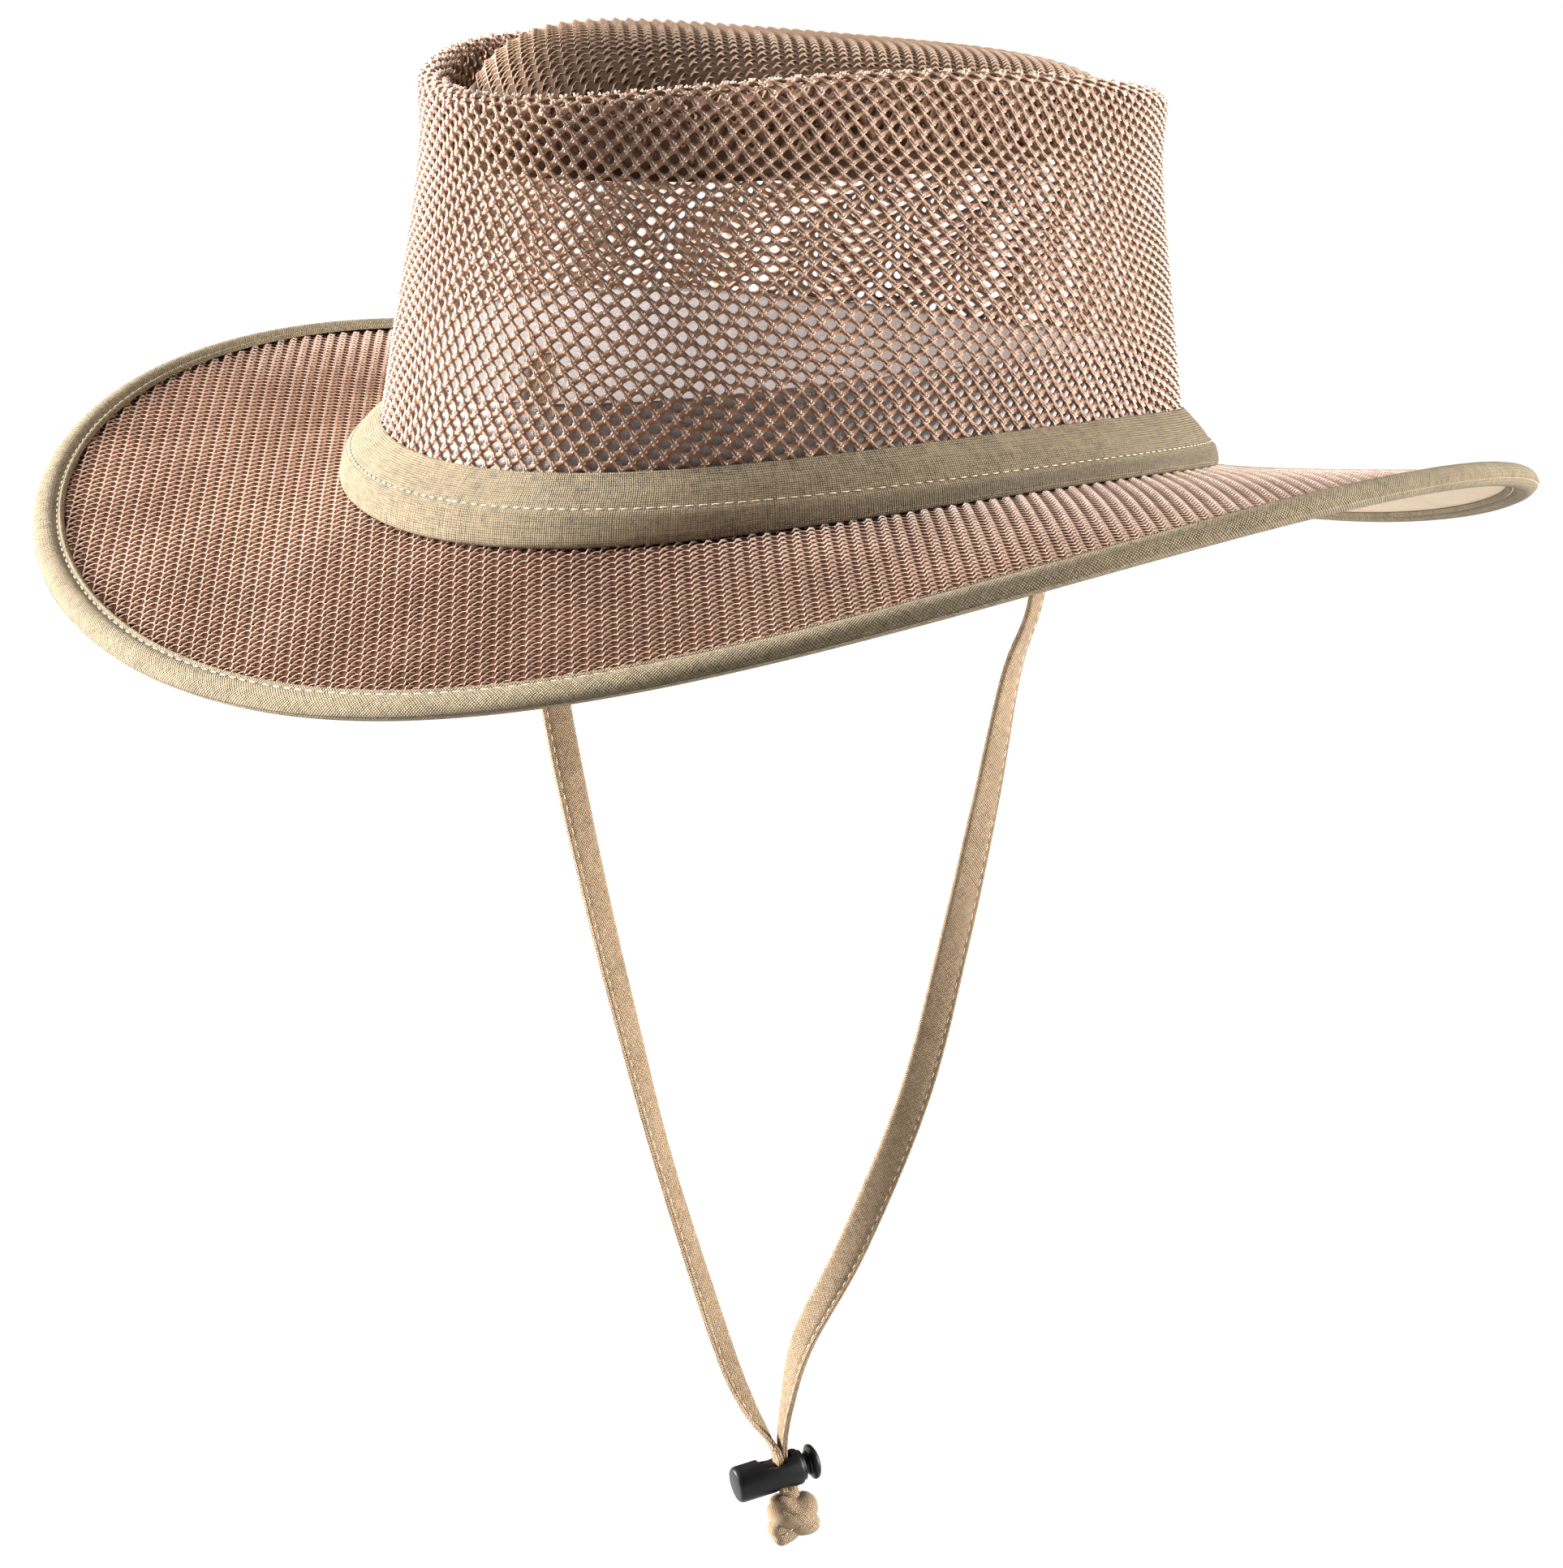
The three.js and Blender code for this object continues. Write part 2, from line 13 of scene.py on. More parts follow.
import bpy
import numpy as np
from mathutils import Matrix, Vector
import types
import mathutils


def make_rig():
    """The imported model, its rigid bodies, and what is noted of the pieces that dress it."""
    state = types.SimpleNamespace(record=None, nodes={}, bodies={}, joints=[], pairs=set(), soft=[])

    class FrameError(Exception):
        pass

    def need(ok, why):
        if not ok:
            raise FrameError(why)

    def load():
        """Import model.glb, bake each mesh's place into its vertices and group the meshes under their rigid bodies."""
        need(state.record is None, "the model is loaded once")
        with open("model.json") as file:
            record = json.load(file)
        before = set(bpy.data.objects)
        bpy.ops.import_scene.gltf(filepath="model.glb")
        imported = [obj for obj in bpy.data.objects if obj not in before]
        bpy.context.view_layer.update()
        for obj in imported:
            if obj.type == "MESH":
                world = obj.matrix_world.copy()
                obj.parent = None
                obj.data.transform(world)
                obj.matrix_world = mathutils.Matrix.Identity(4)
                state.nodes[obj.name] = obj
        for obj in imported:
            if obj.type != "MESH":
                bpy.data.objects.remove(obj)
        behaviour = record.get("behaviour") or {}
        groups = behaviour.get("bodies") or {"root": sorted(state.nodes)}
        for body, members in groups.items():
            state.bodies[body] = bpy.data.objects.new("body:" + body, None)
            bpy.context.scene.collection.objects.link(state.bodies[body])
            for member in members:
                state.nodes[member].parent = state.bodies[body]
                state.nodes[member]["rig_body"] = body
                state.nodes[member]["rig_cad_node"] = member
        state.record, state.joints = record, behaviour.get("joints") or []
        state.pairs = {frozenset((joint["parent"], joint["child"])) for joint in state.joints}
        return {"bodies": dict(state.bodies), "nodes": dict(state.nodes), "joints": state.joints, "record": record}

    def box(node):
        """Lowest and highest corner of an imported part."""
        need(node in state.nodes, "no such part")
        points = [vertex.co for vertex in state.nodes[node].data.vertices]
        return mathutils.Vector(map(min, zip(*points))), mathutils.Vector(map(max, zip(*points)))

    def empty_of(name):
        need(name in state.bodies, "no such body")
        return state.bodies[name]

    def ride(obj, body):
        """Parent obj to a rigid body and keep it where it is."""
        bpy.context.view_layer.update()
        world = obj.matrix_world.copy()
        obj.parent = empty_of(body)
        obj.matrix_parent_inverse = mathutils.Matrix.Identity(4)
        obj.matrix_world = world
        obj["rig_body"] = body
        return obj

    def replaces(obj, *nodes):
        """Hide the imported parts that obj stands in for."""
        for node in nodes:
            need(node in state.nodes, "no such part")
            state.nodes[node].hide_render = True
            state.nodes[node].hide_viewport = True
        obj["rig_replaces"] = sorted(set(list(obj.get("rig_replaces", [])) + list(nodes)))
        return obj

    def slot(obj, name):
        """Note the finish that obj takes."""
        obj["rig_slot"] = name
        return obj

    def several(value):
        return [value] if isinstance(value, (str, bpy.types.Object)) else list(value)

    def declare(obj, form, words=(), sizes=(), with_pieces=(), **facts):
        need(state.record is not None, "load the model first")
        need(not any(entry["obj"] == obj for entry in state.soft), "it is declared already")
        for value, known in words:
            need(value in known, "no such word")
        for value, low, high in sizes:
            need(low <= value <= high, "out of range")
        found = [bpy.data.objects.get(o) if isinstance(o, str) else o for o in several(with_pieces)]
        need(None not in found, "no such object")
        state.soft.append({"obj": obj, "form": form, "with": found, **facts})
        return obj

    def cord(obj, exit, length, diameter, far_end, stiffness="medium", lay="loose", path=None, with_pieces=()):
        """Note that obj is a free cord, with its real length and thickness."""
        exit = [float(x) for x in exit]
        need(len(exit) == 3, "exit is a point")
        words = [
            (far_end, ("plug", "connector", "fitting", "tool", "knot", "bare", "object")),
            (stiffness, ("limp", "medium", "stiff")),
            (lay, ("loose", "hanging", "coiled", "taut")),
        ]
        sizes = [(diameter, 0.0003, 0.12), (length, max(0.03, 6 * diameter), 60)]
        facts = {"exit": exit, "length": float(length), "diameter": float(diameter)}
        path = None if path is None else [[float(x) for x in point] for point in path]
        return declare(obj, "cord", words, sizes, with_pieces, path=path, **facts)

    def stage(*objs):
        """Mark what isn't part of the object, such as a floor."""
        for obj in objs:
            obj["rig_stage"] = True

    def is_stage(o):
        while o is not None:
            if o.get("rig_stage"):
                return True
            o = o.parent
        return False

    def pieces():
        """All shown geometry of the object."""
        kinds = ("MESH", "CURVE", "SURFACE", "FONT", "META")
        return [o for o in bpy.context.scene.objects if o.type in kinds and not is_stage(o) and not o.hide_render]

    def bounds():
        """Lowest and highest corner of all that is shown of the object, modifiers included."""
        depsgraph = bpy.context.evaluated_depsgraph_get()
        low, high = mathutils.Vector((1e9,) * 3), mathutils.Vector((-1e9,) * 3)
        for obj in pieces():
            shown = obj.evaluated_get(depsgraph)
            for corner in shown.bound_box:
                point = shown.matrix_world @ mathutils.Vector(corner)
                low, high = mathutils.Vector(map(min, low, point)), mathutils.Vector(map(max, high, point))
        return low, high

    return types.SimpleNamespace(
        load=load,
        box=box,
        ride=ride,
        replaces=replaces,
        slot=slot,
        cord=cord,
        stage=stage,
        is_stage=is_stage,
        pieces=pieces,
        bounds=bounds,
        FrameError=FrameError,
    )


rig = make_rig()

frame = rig.load()
cad_low, cad_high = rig.bounds()
for node in sorted(frame["nodes"]):
    low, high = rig.box(node)
    print(node, [round(1000 * (b - a), 1) for a, b in zip(low, high)])

# %% [markdown]
# The camera comes first, because everything is judged through it. A long lens from nearly two
# metres keeps the crown upright, as a product photograph does. It stands off the hat's front
# corner and a little above, and looks at a point below the crown, so that the strap fits in.

# %% Camera at the photograph's viewing angle
MM = 0.001
VIEW_TURN = math.radians(42.9)
VIEW_RISE = math.radians(10.8)
VIEW_ROLL = math.radians(0.97)
VIEW_DISTANCE = 1.7615
ORIGIN_RIGHT_OF_MIDDLE = 0.6 * MM
ORIGIN_ABOVE_MIDDLE = 76.7 * MM
SENSOR_MM, LENS_MM = 36, 173.25

turned = (
    Matrix.Rotation(VIEW_TURN, 3, "Z")
    @ Matrix.Rotation(math.pi / 2 - VIEW_RISE, 3, "X")
    @ Matrix.Rotation(VIEW_ROLL, 3, "Z")
)
place = turned @ Vector((-ORIGIN_RIGHT_OF_MIDDLE, -ORIGIN_ABOVE_MIDDLE, VIEW_DISTANCE))
bpy.ops.object.camera_add(location=place, rotation=turned.to_euler())
camera = bpy.context.object
camera.name = "camera"
camera.data.sensor_fit = "HORIZONTAL"
camera.data.sensor_width = SENSOR_MM
camera.data.lens = LENS_MM
camera.data.clip_end = 20.0
camera.data.dof.use_dof = False
bpy.context.scene.camera = camera
print("camera at", [round(value, 3) for value in camera.location])

# %% [markdown]
# The hat hangs over a plain white studio floor that glows softly, as a light table does, so that
# it looks white from every side. The sky is pale low down and dim overhead. Two big soft lamps
# stand low at the sides, so the crown's flanks are lit and its middle falls into shade, and a third
# hangs above for the brim. The plain "Standard" view keeps the full contrast of a product photograph.

# %% Studio floor, world and lamps
FLOOR_HEIGHT = -0.33
FLOOR_SIZE = 30
FLOOR_GREY, FLOOR_GLOW = 0.12, 0.97
# The sky's strength below one height of view, its strength above another, and those two heights
SKY_LOW, SKY_HIGH = 0.3, 0.06
FADE_FROM, FADE_TO = 0.22, 0.5
LAMPS = {
    # name: azimuth, elevation, distance, size, power
    "lamp_left": (-57, 10, 1.5, 0.6, 165),
    "lamp_top": (-40, 66, 1.6, 0.5, 32),
    "lamp_right": (134, 8, 1.5, 0.6, 80),
}


def select_only(piece):
    bpy.ops.object.select_all(action="DESELECT")
    piece.select_set(True)
    bpy.context.view_layer.objects.active = piece


def edit_whole(piece):
    """Opens edit mode on a piece, with all of it selected."""
    select_only(piece)
    bpy.ops.object.mode_set(mode="EDIT")
    bpy.ops.mesh.select_all(action="SELECT")


def set_values(node, values):
    for name, value in values.items():
        node.inputs[name].default_value = value


bpy.ops.mesh.primitive_plane_add(size=FLOOR_SIZE, location=(0, 0, FLOOR_HEIGHT))
floor = bpy.context.object
floor.name = "studio_floor"
paper = bpy.data.materials.new("white_paper")
paper.use_nodes = True
set_values(paper.node_tree.nodes["Principled BSDF"], {
    "Base Color": (FLOOR_GREY, FLOOR_GREY, FLOOR_GREY, 1), "Roughness": 1.0,
    "Emission Color": (1, 1, 1, 1), "Emission Strength": FLOOR_GLOW,
})
floor.data.materials.append(paper)
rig.stage(floor)

world = bpy.data.worlds.new("white_room")
world.use_nodes = True
sky = world.node_tree
background = sky.nodes["Background"]
background.inputs["Color"].default_value = (1, 1, 1, 1)
direction = sky.nodes.new("ShaderNodeTexCoord")
parts = sky.nodes.new("ShaderNodeSeparateXYZ")
fade = sky.nodes.new("ShaderNodeMapRange")
set_values(fade, {"From Min": FADE_FROM, "From Max": FADE_TO, "To Min": SKY_LOW, "To Max": SKY_HIGH})
sky.links.new(direction.outputs["Generated"], parts.inputs[0])
sky.links.new(parts.outputs[2], fade.inputs["Value"])
sky.links.new(fade.outputs[0], background.inputs["Strength"])
bpy.context.scene.world = world
bpy.context.scene.view_settings.view_transform = "Standard"

for name, (azimuth, elevation, distance, size, power) in LAMPS.items():
    turn, rise = math.radians(azimuth), math.radians(elevation)
    away = Vector((math.sin(turn) * math.cos(rise), -math.cos(turn) * math.cos(rise), math.sin(rise)))
    bpy.ops.object.light_add(
        type="AREA", location=away * distance, rotation=away.to_track_quat("Z", "Y").to_euler()
    )
    lamp = bpy.context.object
    lamp.name = name
    lamp.data.size = size
    lamp.data.energy = power
print(len(LAMPS), "lamps")

# %% [markdown]
# The hat's form is a few ovals and heights. The same driving sizes shape the solids, so a thread
# that is laid on the crown here lies on the crown there. `turn` runs round the hat from the front,
# and `outward` and `rise` are millimetres from the oval. Every formula takes a whole array of
# turns at once, because thousands of threads are laid with it.

# %% Driving sizes of the hat, in millimetres
FOOT_HALF = (86.2, 103.0)
RIM_HALF = (63.8, 101.9)
RIM_BACK = 3.6
ROLL_RADIUS, ROLL_DEPTH = 3.0, 4.0
WAIST_HEIGHTS, WAIST_INWARD = (0, 0.4, 0.68, 0.86, 1), (0, 0.9, 1.6, 1.5, 0)
VALLEY_HEIGHT, VALLEY_INSET = 75.0, 7.0
BRIM_WIDTH, BRIM_END_NARROWING, BRIM_THICK = 82.5, 5.6, 2.2
BRIM_ROOT_DROP = 0.9
BRIM_SLOPE = (-8.28, -4.87, -12.96, 0.28, -0.82)
NET_THICK, GAP = 1.6, 0.3
FULL_TURN = 2 * math.pi


def oval(half, turn, outward):
    x, y = half[0] * np.sin(turn), -half[1] * np.cos(turn)
    nx, ny = x / half[0] ** 2, y / half[1] ** 2
    size = np.hypot(nx, ny)
    return x + outward * nx / size, y + outward * ny / size


def stack(x, y, z):
    return np.stack(np.broadcast_arrays(x, y, z), axis=-1)


def foot_height(turn):
    return 0.7 * np.cos(turn) - 4.75 * np.cos(2 * turn)


def crest_height(turn):
    return 90 + 6.1 * np.cos(turn) - 4.6 * np.cos(2 * turn) - 0.86 * np.cos(3 * turn)


def foot_point(turn, outward, rise):
    x, y = oval(FOOT_HALF, turn, outward)
    return stack(x, y, foot_height(turn) + rise)


def rim_point(turn, outward, rise):
    x, y = oval(RIM_HALF, turn, outward)
    return stack(x, y + RIM_BACK, crest_height(turn) + rise)


def wall_point(turn, height, outward):
    shift = outward - np.interp(height, WAIST_HEIGHTS, WAIST_INWARD)
    low = foot_point(turn, shift, 0)
    high = rim_point(turn, ROLL_RADIUS + shift, -ROLL_DEPTH)
    return low + (high - low) * np.expand_dims(height + 0 * turn, -1)


def wall_above(turn, rise, outward):
    wall_rise = crest_height(turn) - ROLL_DEPTH - foot_height(turn)
    return wall_point(turn, rise / wall_rise, outward)


def unit(vectors):
    return vectors / np.linalg.norm(vectors, axis=-1, keepdims=True)


def brim_edge(turn):
    slope = np.radians(sum(size * np.cos(count * turn) for count, size in enumerate(BRIM_SLOPE)))
    width = BRIM_WIDTH - BRIM_END_NARROWING * np.cos(2 * turn)
    return foot_point(turn, width * np.cos(slope), width * np.sin(slope))


def brim_root(turn):
    return foot_point(turn, 0 * turn, -BRIM_ROOT_DROP - BRIM_THICK / 2)


def brim_frame(turn):
    """The brim's edge at a turn, the way outward along the brim, and the way up from it."""
    edge = brim_edge(turn)
    outward = unit(edge - brim_root(turn))
    around = foot_point(turn + 0.01, 0, 0) - foot_point(turn - 0.01, 0, 0)
    around[..., 2] = 0
    return edge, outward, unit(np.cross(outward, around))


def brim_point(turn, inward, lift):
    edge, outward, up = brim_frame(turn)
    inward, lift = (np.expand_dims(value + 0 * turn, -1) for value in (inward, lift))
    return edge - outward * inward + up * lift


front = np.array([0.0])
print("front edge of the brim", brim_edge(front).round(1), "up", brim_frame(front)[2].round(2))

# %% [markdown]
# Cloth starts as a flat grid, as it lies on a cutting table, and each of its points is then laid
# on the hat. The grid brings its own UV map, which is stretched to millimetres, so that weave and
# ribs keep their true size on every piece. `through` draws a smooth curve through the points of a
# section, which keeps folded edges plump.

# %% Cloth laid from a flat grid
SEWN_WITHIN = 0.004


def through(stops, share, closed=False):
    """Catmull-Rom curve: stops is (stop, point, xyz), and share runs 0 to 1 along the stops."""
    stops = np.asarray(stops)
    count = len(stops)
    spans = count if closed else count - 1
    place = np.clip(share, 0, 1) * spans
    span = np.minimum(place.astype(int), spans - 1)
    part = np.expand_dims(place - span, -1)
    rows = np.arange(stops.shape[1])

    def stop(step):
        wanted = (span + step) % count if closed else np.clip(span + step, 0, count - 1)
        return stops[wanted, rows]

    a, b, c, d = stop(-1), stop(0), stop(1), stop(2)
    bend = 2 * a - 5 * b + 4 * c - d
    return 0.5 * (2 * b + (c - a) * part + bend * part**2 + (3 * b - a - 3 * c + d) * part**3)


def lengths_along(points):
    steps = np.linalg.norm(np.diff(points, axis=0), axis=-1)
    return np.concatenate([[0], np.cumsum(steps)])


def sew(piece, outward=True):
    """Merges the points that meet, turns the faces outward if outward is set, and shades the piece smooth."""
    edit_whole(piece)
    bpy.ops.mesh.remove_doubles(threshold=SEWN_WITHIN * MM)
    if outward:
        bpy.ops.mesh.normals_make_consistent(inside=False)
    bpy.ops.object.mode_set(mode="OBJECT")
    bpy.ops.object.shade_smooth()


def uv_of(mesh):
    uv = np.empty(2 * len(mesh.loops))
    mesh.uv_layers[0].data.foreach_get("uv", uv)
    return uv.reshape(-1, 2)


def laid_cloth(name, lay, along, across):
    bpy.ops.mesh.primitive_grid_add(x_subdivisions=along, y_subdivisions=across, size=1)
    piece = bpy.context.object
    piece.name = name
    mesh = piece.data
    flat = np.empty(3 * len(mesh.vertices))
    mesh.vertices.foreach_get("co", flat)
    shares = flat.reshape(-1, 3)[:, :2] + 0.5
    laid = lay(shares[:, 0], shares[:, 1])
    mesh.vertices.foreach_set("co", (laid * MM).ravel())
    grid = laid.reshape(across + 1, along + 1, 3)
    uv = uv_of(mesh)
    for side, line in enumerate((grid[across // 2], grid[:, 0])):
        lengths = lengths_along(line)
        uv[:, side] = np.interp(uv[:, side], np.linspace(0, 1, len(lengths)), lengths)
    mesh.uv_layers[0].data.foreach_set("uv", uv.ravel())
    sew(piece)
    print(name, len(mesh.polygons), "faces")
    return piece


def wound_cloth(name, stops_at, stations, steps):
    """A closed section carried round the hat. stops_at gives the section's points for turns."""

    def lay(along, across):
        return through(stops_at(FULL_TURN * along), across, closed=True)

    return laid_cloth(name, lay, stations, steps)


def finish_piece(piece, look, slot, *nodes, body="hat"):
    piece.data.materials.clear()
    piece.data.materials.append(look)
    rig.slot(piece, slot)
    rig.ride(piece, body)
    if nodes:
        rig.replaces(piece, *nodes)


# %% [markdown]
# A shader is maths on sockets. One small class wraps a socket, so that a pattern can be written as
# an ordinary Python expression, and one method of the material adds any other node.

# %% Shader maths as Python expressions
class Value:
    def __init__(self, look, socket):
        self.look, self.socket = look, socket

    def maths(self, operation, first, second=0.0):
        return self.look.add("ShaderNodeMath", {0: first, 1: second}, operation=operation)

    def __add__(self, other):
        return self.maths("ADD", self, other)

    __radd__ = __add__

    def __sub__(self, other):
        return self.maths("SUBTRACT", self, other)

    def __mul__(self, other):
        return self.maths("MULTIPLY", self, other)

    __rmul__ = __mul__

    def sine(self):
        return self.maths("SINE", self)

    def size(self):
        return self.maths("ABSOLUTE", self)

    def between(self, low, high):
        """0 below low, 1 above high and a straight ramp between them."""
        values = {"Value": self, "From Min": low, "From Max": high}
        return self.look.add("ShaderNodeMapRange", values)


class Look:
    """A material, its node tree and the coordinates that its patterns read."""

    def __init__(self, name, roughness, sheen=0.0, specular=0.3):
        self.material = bpy.data.materials.new(name)
        self.material.use_nodes = True
        self.tree = self.material.node_tree
        self.shader = self.tree.nodes["Principled BSDF"]
        values = {"Roughness": roughness, "Sheen Weight": sheen, "Specular IOR Level": specular}
        set_values(self.shader, values)
        self.place = self.add("ShaderNodeTexCoord", out="Object")
        cloth = self.add("ShaderNodeTexCoord", out="UV")
        self.along = self.add("ShaderNodeSeparateXYZ", {0: cloth}, out=0)
        self.across = self.add("ShaderNodeSeparateXYZ", {0: cloth}, out=1)

    def add(self, kind, values=None, out=0, **settings):
        node = self.tree.nodes.new(kind)
        for name, value in settings.items():
            setattr(node, name, value)
        for key, value in (values or {}).items():
            if isinstance(value, Value):
                self.tree.links.new(value.socket, node.inputs[key])
            else:
                node.inputs[key].default_value = value
        return Value(self, node.outputs[out])

    def noise(self, scale, detail=2.0):
        return self.add("ShaderNodeTexNoise", {"Vector": self.place, "Scale": scale, "Detail": detail})

    def streaks(self, along, across, thread):
        """A tone that changes from thread to thread and only slowly along each one."""
        place = self.add("ShaderNodeCombineXYZ", {0: along * 0.25, 1: across * (0.7 / thread)})
        return self.add("ShaderNodeTexNoise", {"Vector": place, "Scale": 1.0, "Detail": 1.0})

    def mix(self, factor, first, second):
        return self.add("ShaderNodeMix", {0: factor, 6: first, 7: second}, out=2, data_type="RGBA")

    def finish(self, color, height=None, distance=0.0001):
        self.tree.links.new(color.socket, self.shader.inputs["Base Color"])
        if height is not None:
            bump = self.add("ShaderNodeBump", {"Height": height, "Distance": distance})
            self.tree.links.new(bump.socket, self.shader.inputs["Normal"])
        return self.material


def rgb(red, green, blue):
    """A colour given in display values, as linear light."""
    return tuple((value / 255) ** 2.2 for value in (red, green, blue)) + (1.0,)


print("shader helpers ready")

# %% [markdown]
# Canvas is a plain weave: threads cross over and under, almost two to the millimetre. The height of
# the weave is a sine along each direction, and slubs vary its tone. Its tone is also darker in the
# gaps between the threads, which is painted shade. The folded tape of the strap is a like cloth in
# a lighter shade. Net yarn has no weave, only fine fibres, and the cord lock's plastic and steel
# have a faint grain.

# %% Canvas, tape, lining, yarn, plastic and steel finishes


def woven(name, light, dark, thread, depth, bias=0.0):
    """bias turns the threads against the cloth's length, as in tape cut across the weave."""
    look = Look(name, roughness=0.92, sheen=0.08)
    warp_way = look.along * math.cos(bias) + look.across * math.sin(bias)
    weft_way = look.across * math.cos(bias) - look.along * math.sin(bias)
    warp, weft = ((way * (math.pi / thread)).sine() for way in (warp_way, weft_way))
    threads, over = warp.size() * weft.size(), warp * weft
    slub = look.streaks(warp_way, weft_way, thread) + look.streaks(weft_way, warp_way, thread)
    cloud = look.noise(70, 3.0)
    height = threads + 0.35 * over + 0.5 * slub
    # The tone is darker in the gaps between threads, which is painted shade; the slubs and the cloud are the cloth's
    # own tone. The dark colour serves both.
    tone = 0.7 * threads + 0.25 * over + 0.5 * slub + 0.3 * cloud
    return look.finish(look.mix(tone.between(0.5, 1.1), dark, light), height, depth * MM)


def yarn_finish(name, light, dark, roughness=0.55, specular=0.5):
    look = Look(name, roughness=roughness, specular=specular)
    fibre = look.noise(3000)
    cloud = look.noise(45, 3.0)
    tone = 0.5 * fibre + 0.5 * cloud
    return look.finish(look.mix(tone.between(0.3, 0.7), dark, light), fibre, 0.05 * MM)


# In every woven cloth the dark colour is the slubs' own tone and painted shade in the gaps between threads.
CANVAS_LIGHT, CANVAS_SLUB_AND_GAP_SHADE = rgb(146, 129, 100), rgb(52, 43, 31)
canvas_look = woven("khaki_canvas", CANVAS_LIGHT, CANVAS_SLUB_AND_GAP_SHADE, 0.55, 0.35)
bias_canvas_look = woven("khaki_bias_tape", CANVAS_LIGHT, CANVAS_SLUB_AND_GAP_SHADE, 0.55, 0.35, math.radians(45))
tape_look = woven("strap_cloth", rgb(172, 146, 116), rgb(92, 72, 50), 0.45, 0.3, math.radians(45))
lining_look = woven("pale_lining", rgb(206, 186, 160), rgb(166, 144, 116), 0.4, 0.08)
sweatband_look = woven("pale_sweatband", rgb(216, 206, 202), rgb(176, 166, 162), 0.4, 0.08)
# The net's raised yarns take the yarn's own colours; the sheet between them takes a darker, browner copy of them,
# painted shade.
net_look = yarn_finish("net_yarn", rgb(214, 190, 172), rgb(170, 145, 127), 0.6, 0.3)
net_painted_shade_look = yarn_finish("net_shade", rgb(142, 109, 88), rgb(110, 82, 65), 0.6, 0.3)
brim_yarn_look = yarn_finish("brim_yarn", rgb(202, 172, 152), rgb(160, 129, 111), 0.36, 0.8)
# The brim's ground is its yarn in much darker colours: painted shade under the raised threads.
brim_ground_painted_shade_look = yarn_finish("brim_ground", rgb(90, 61, 46), rgb(66, 43, 32), 1.0, 0.1)
# The crown's top is the brim's knit in darker colours, painted shade, and its ground is darker still, painted shade
# under its raised threads.
tip_yarn_painted_shade_look = yarn_finish("tip_yarn", rgb(150, 124, 102), rgb(114, 90, 72), 0.5)
tip_ground_painted_shade_look = yarn_finish("tip_ground", rgb(92, 72, 58), rgb(70, 54, 44), 1.0, 0.1)
stitch_look = yarn_finish("pale_thread", rgb(226, 212, 186), rgb(190, 172, 142), 0.7)
plastic = Look("black_satin_plastic", roughness=0.42, specular=0.2)
grain = plastic.noise(1800, 3.0)
worn = plastic.noise(120).between(0.3, 0.7)
plastic_look = plastic.finish(plastic.mix(worn, rgb(14, 14, 16), rgb(23, 23, 25)), grain, 0.03 * MM)
steel = Look("spring_steel", roughness=0.25)
steel.shader.inputs["Metallic"].default_value = 1.0
steel_look = steel.finish(steel.mix(steel.noise(900), rgb(170, 172, 176), rgb(214, 216, 220)))
print(len(bpy.data.materials), "materials")

# %% [markdown]
# Stitches are what tells a sewn edge from a moulded one. One stitch is a stretched ball of thread.
# It is modelled once, and a copy is laid at each step along a seam, turned to run with it.

# %% Stitches along a seam


def new_ball(segments, rings, radius):
    bpy.ops.mesh.primitive_uv_sphere_add(segments=segments, ring_count=rings, radius=radius)
    ball = bpy.context.object
    return ball, np.array([tuple(vertex.co) for vertex in ball.data.vertices])


def thread_ball():
    """One stitch, one millimetre long and one thick, as points and faces."""
    ball, points = new_ball(segments=4, rings=4, radius=0.5)
    faces = [tuple(face.vertices) for face in ball.data.polygons]
    bpy.data.objects.remove(ball)
    return points[:, [2, 0, 1]], faces


STITCH_POINTS, STITCH_FACES = thread_ball()


def drawn_piece(name, points, edges, faces):
    mesh = bpy.data.meshes.new(name)
    mesh.from_pydata(points, edges, faces)
    piece = bpy.data.objects.new(name, mesh)
    bpy.context.scene.collection.objects.link(piece)
    return piece


def copied_piece(name, points, faces, flat):
    """A joined mesh of many copies. flat gives each point its place on the flat cloth, as its UV."""
    piece = drawn_piece(name, (points * MM).tolist(), [], faces)
    layer = piece.data.uv_layers.new(name="UVMap")
    corners = np.empty(len(piece.data.loops), int)
    piece.data.loops.foreach_get("vertex_index", corners)
    layer.data.foreach_set("uv", flat[corners].ravel())
    return piece


def joined(parts):
    """Many small meshes, each given as its points and its faces, as one."""
    points, faces, first = [], [], 0
    for part_points, part_faces in parts:
        points.append(part_points)
        faces += [tuple(first + corner for corner in face) for face in part_faces]
        first += len(part_points)
    return np.concatenate(points), faces


def along_line(place, lengths, values):
    return np.array([np.interp(place, lengths, values[:, axis]) for axis in range(3)])


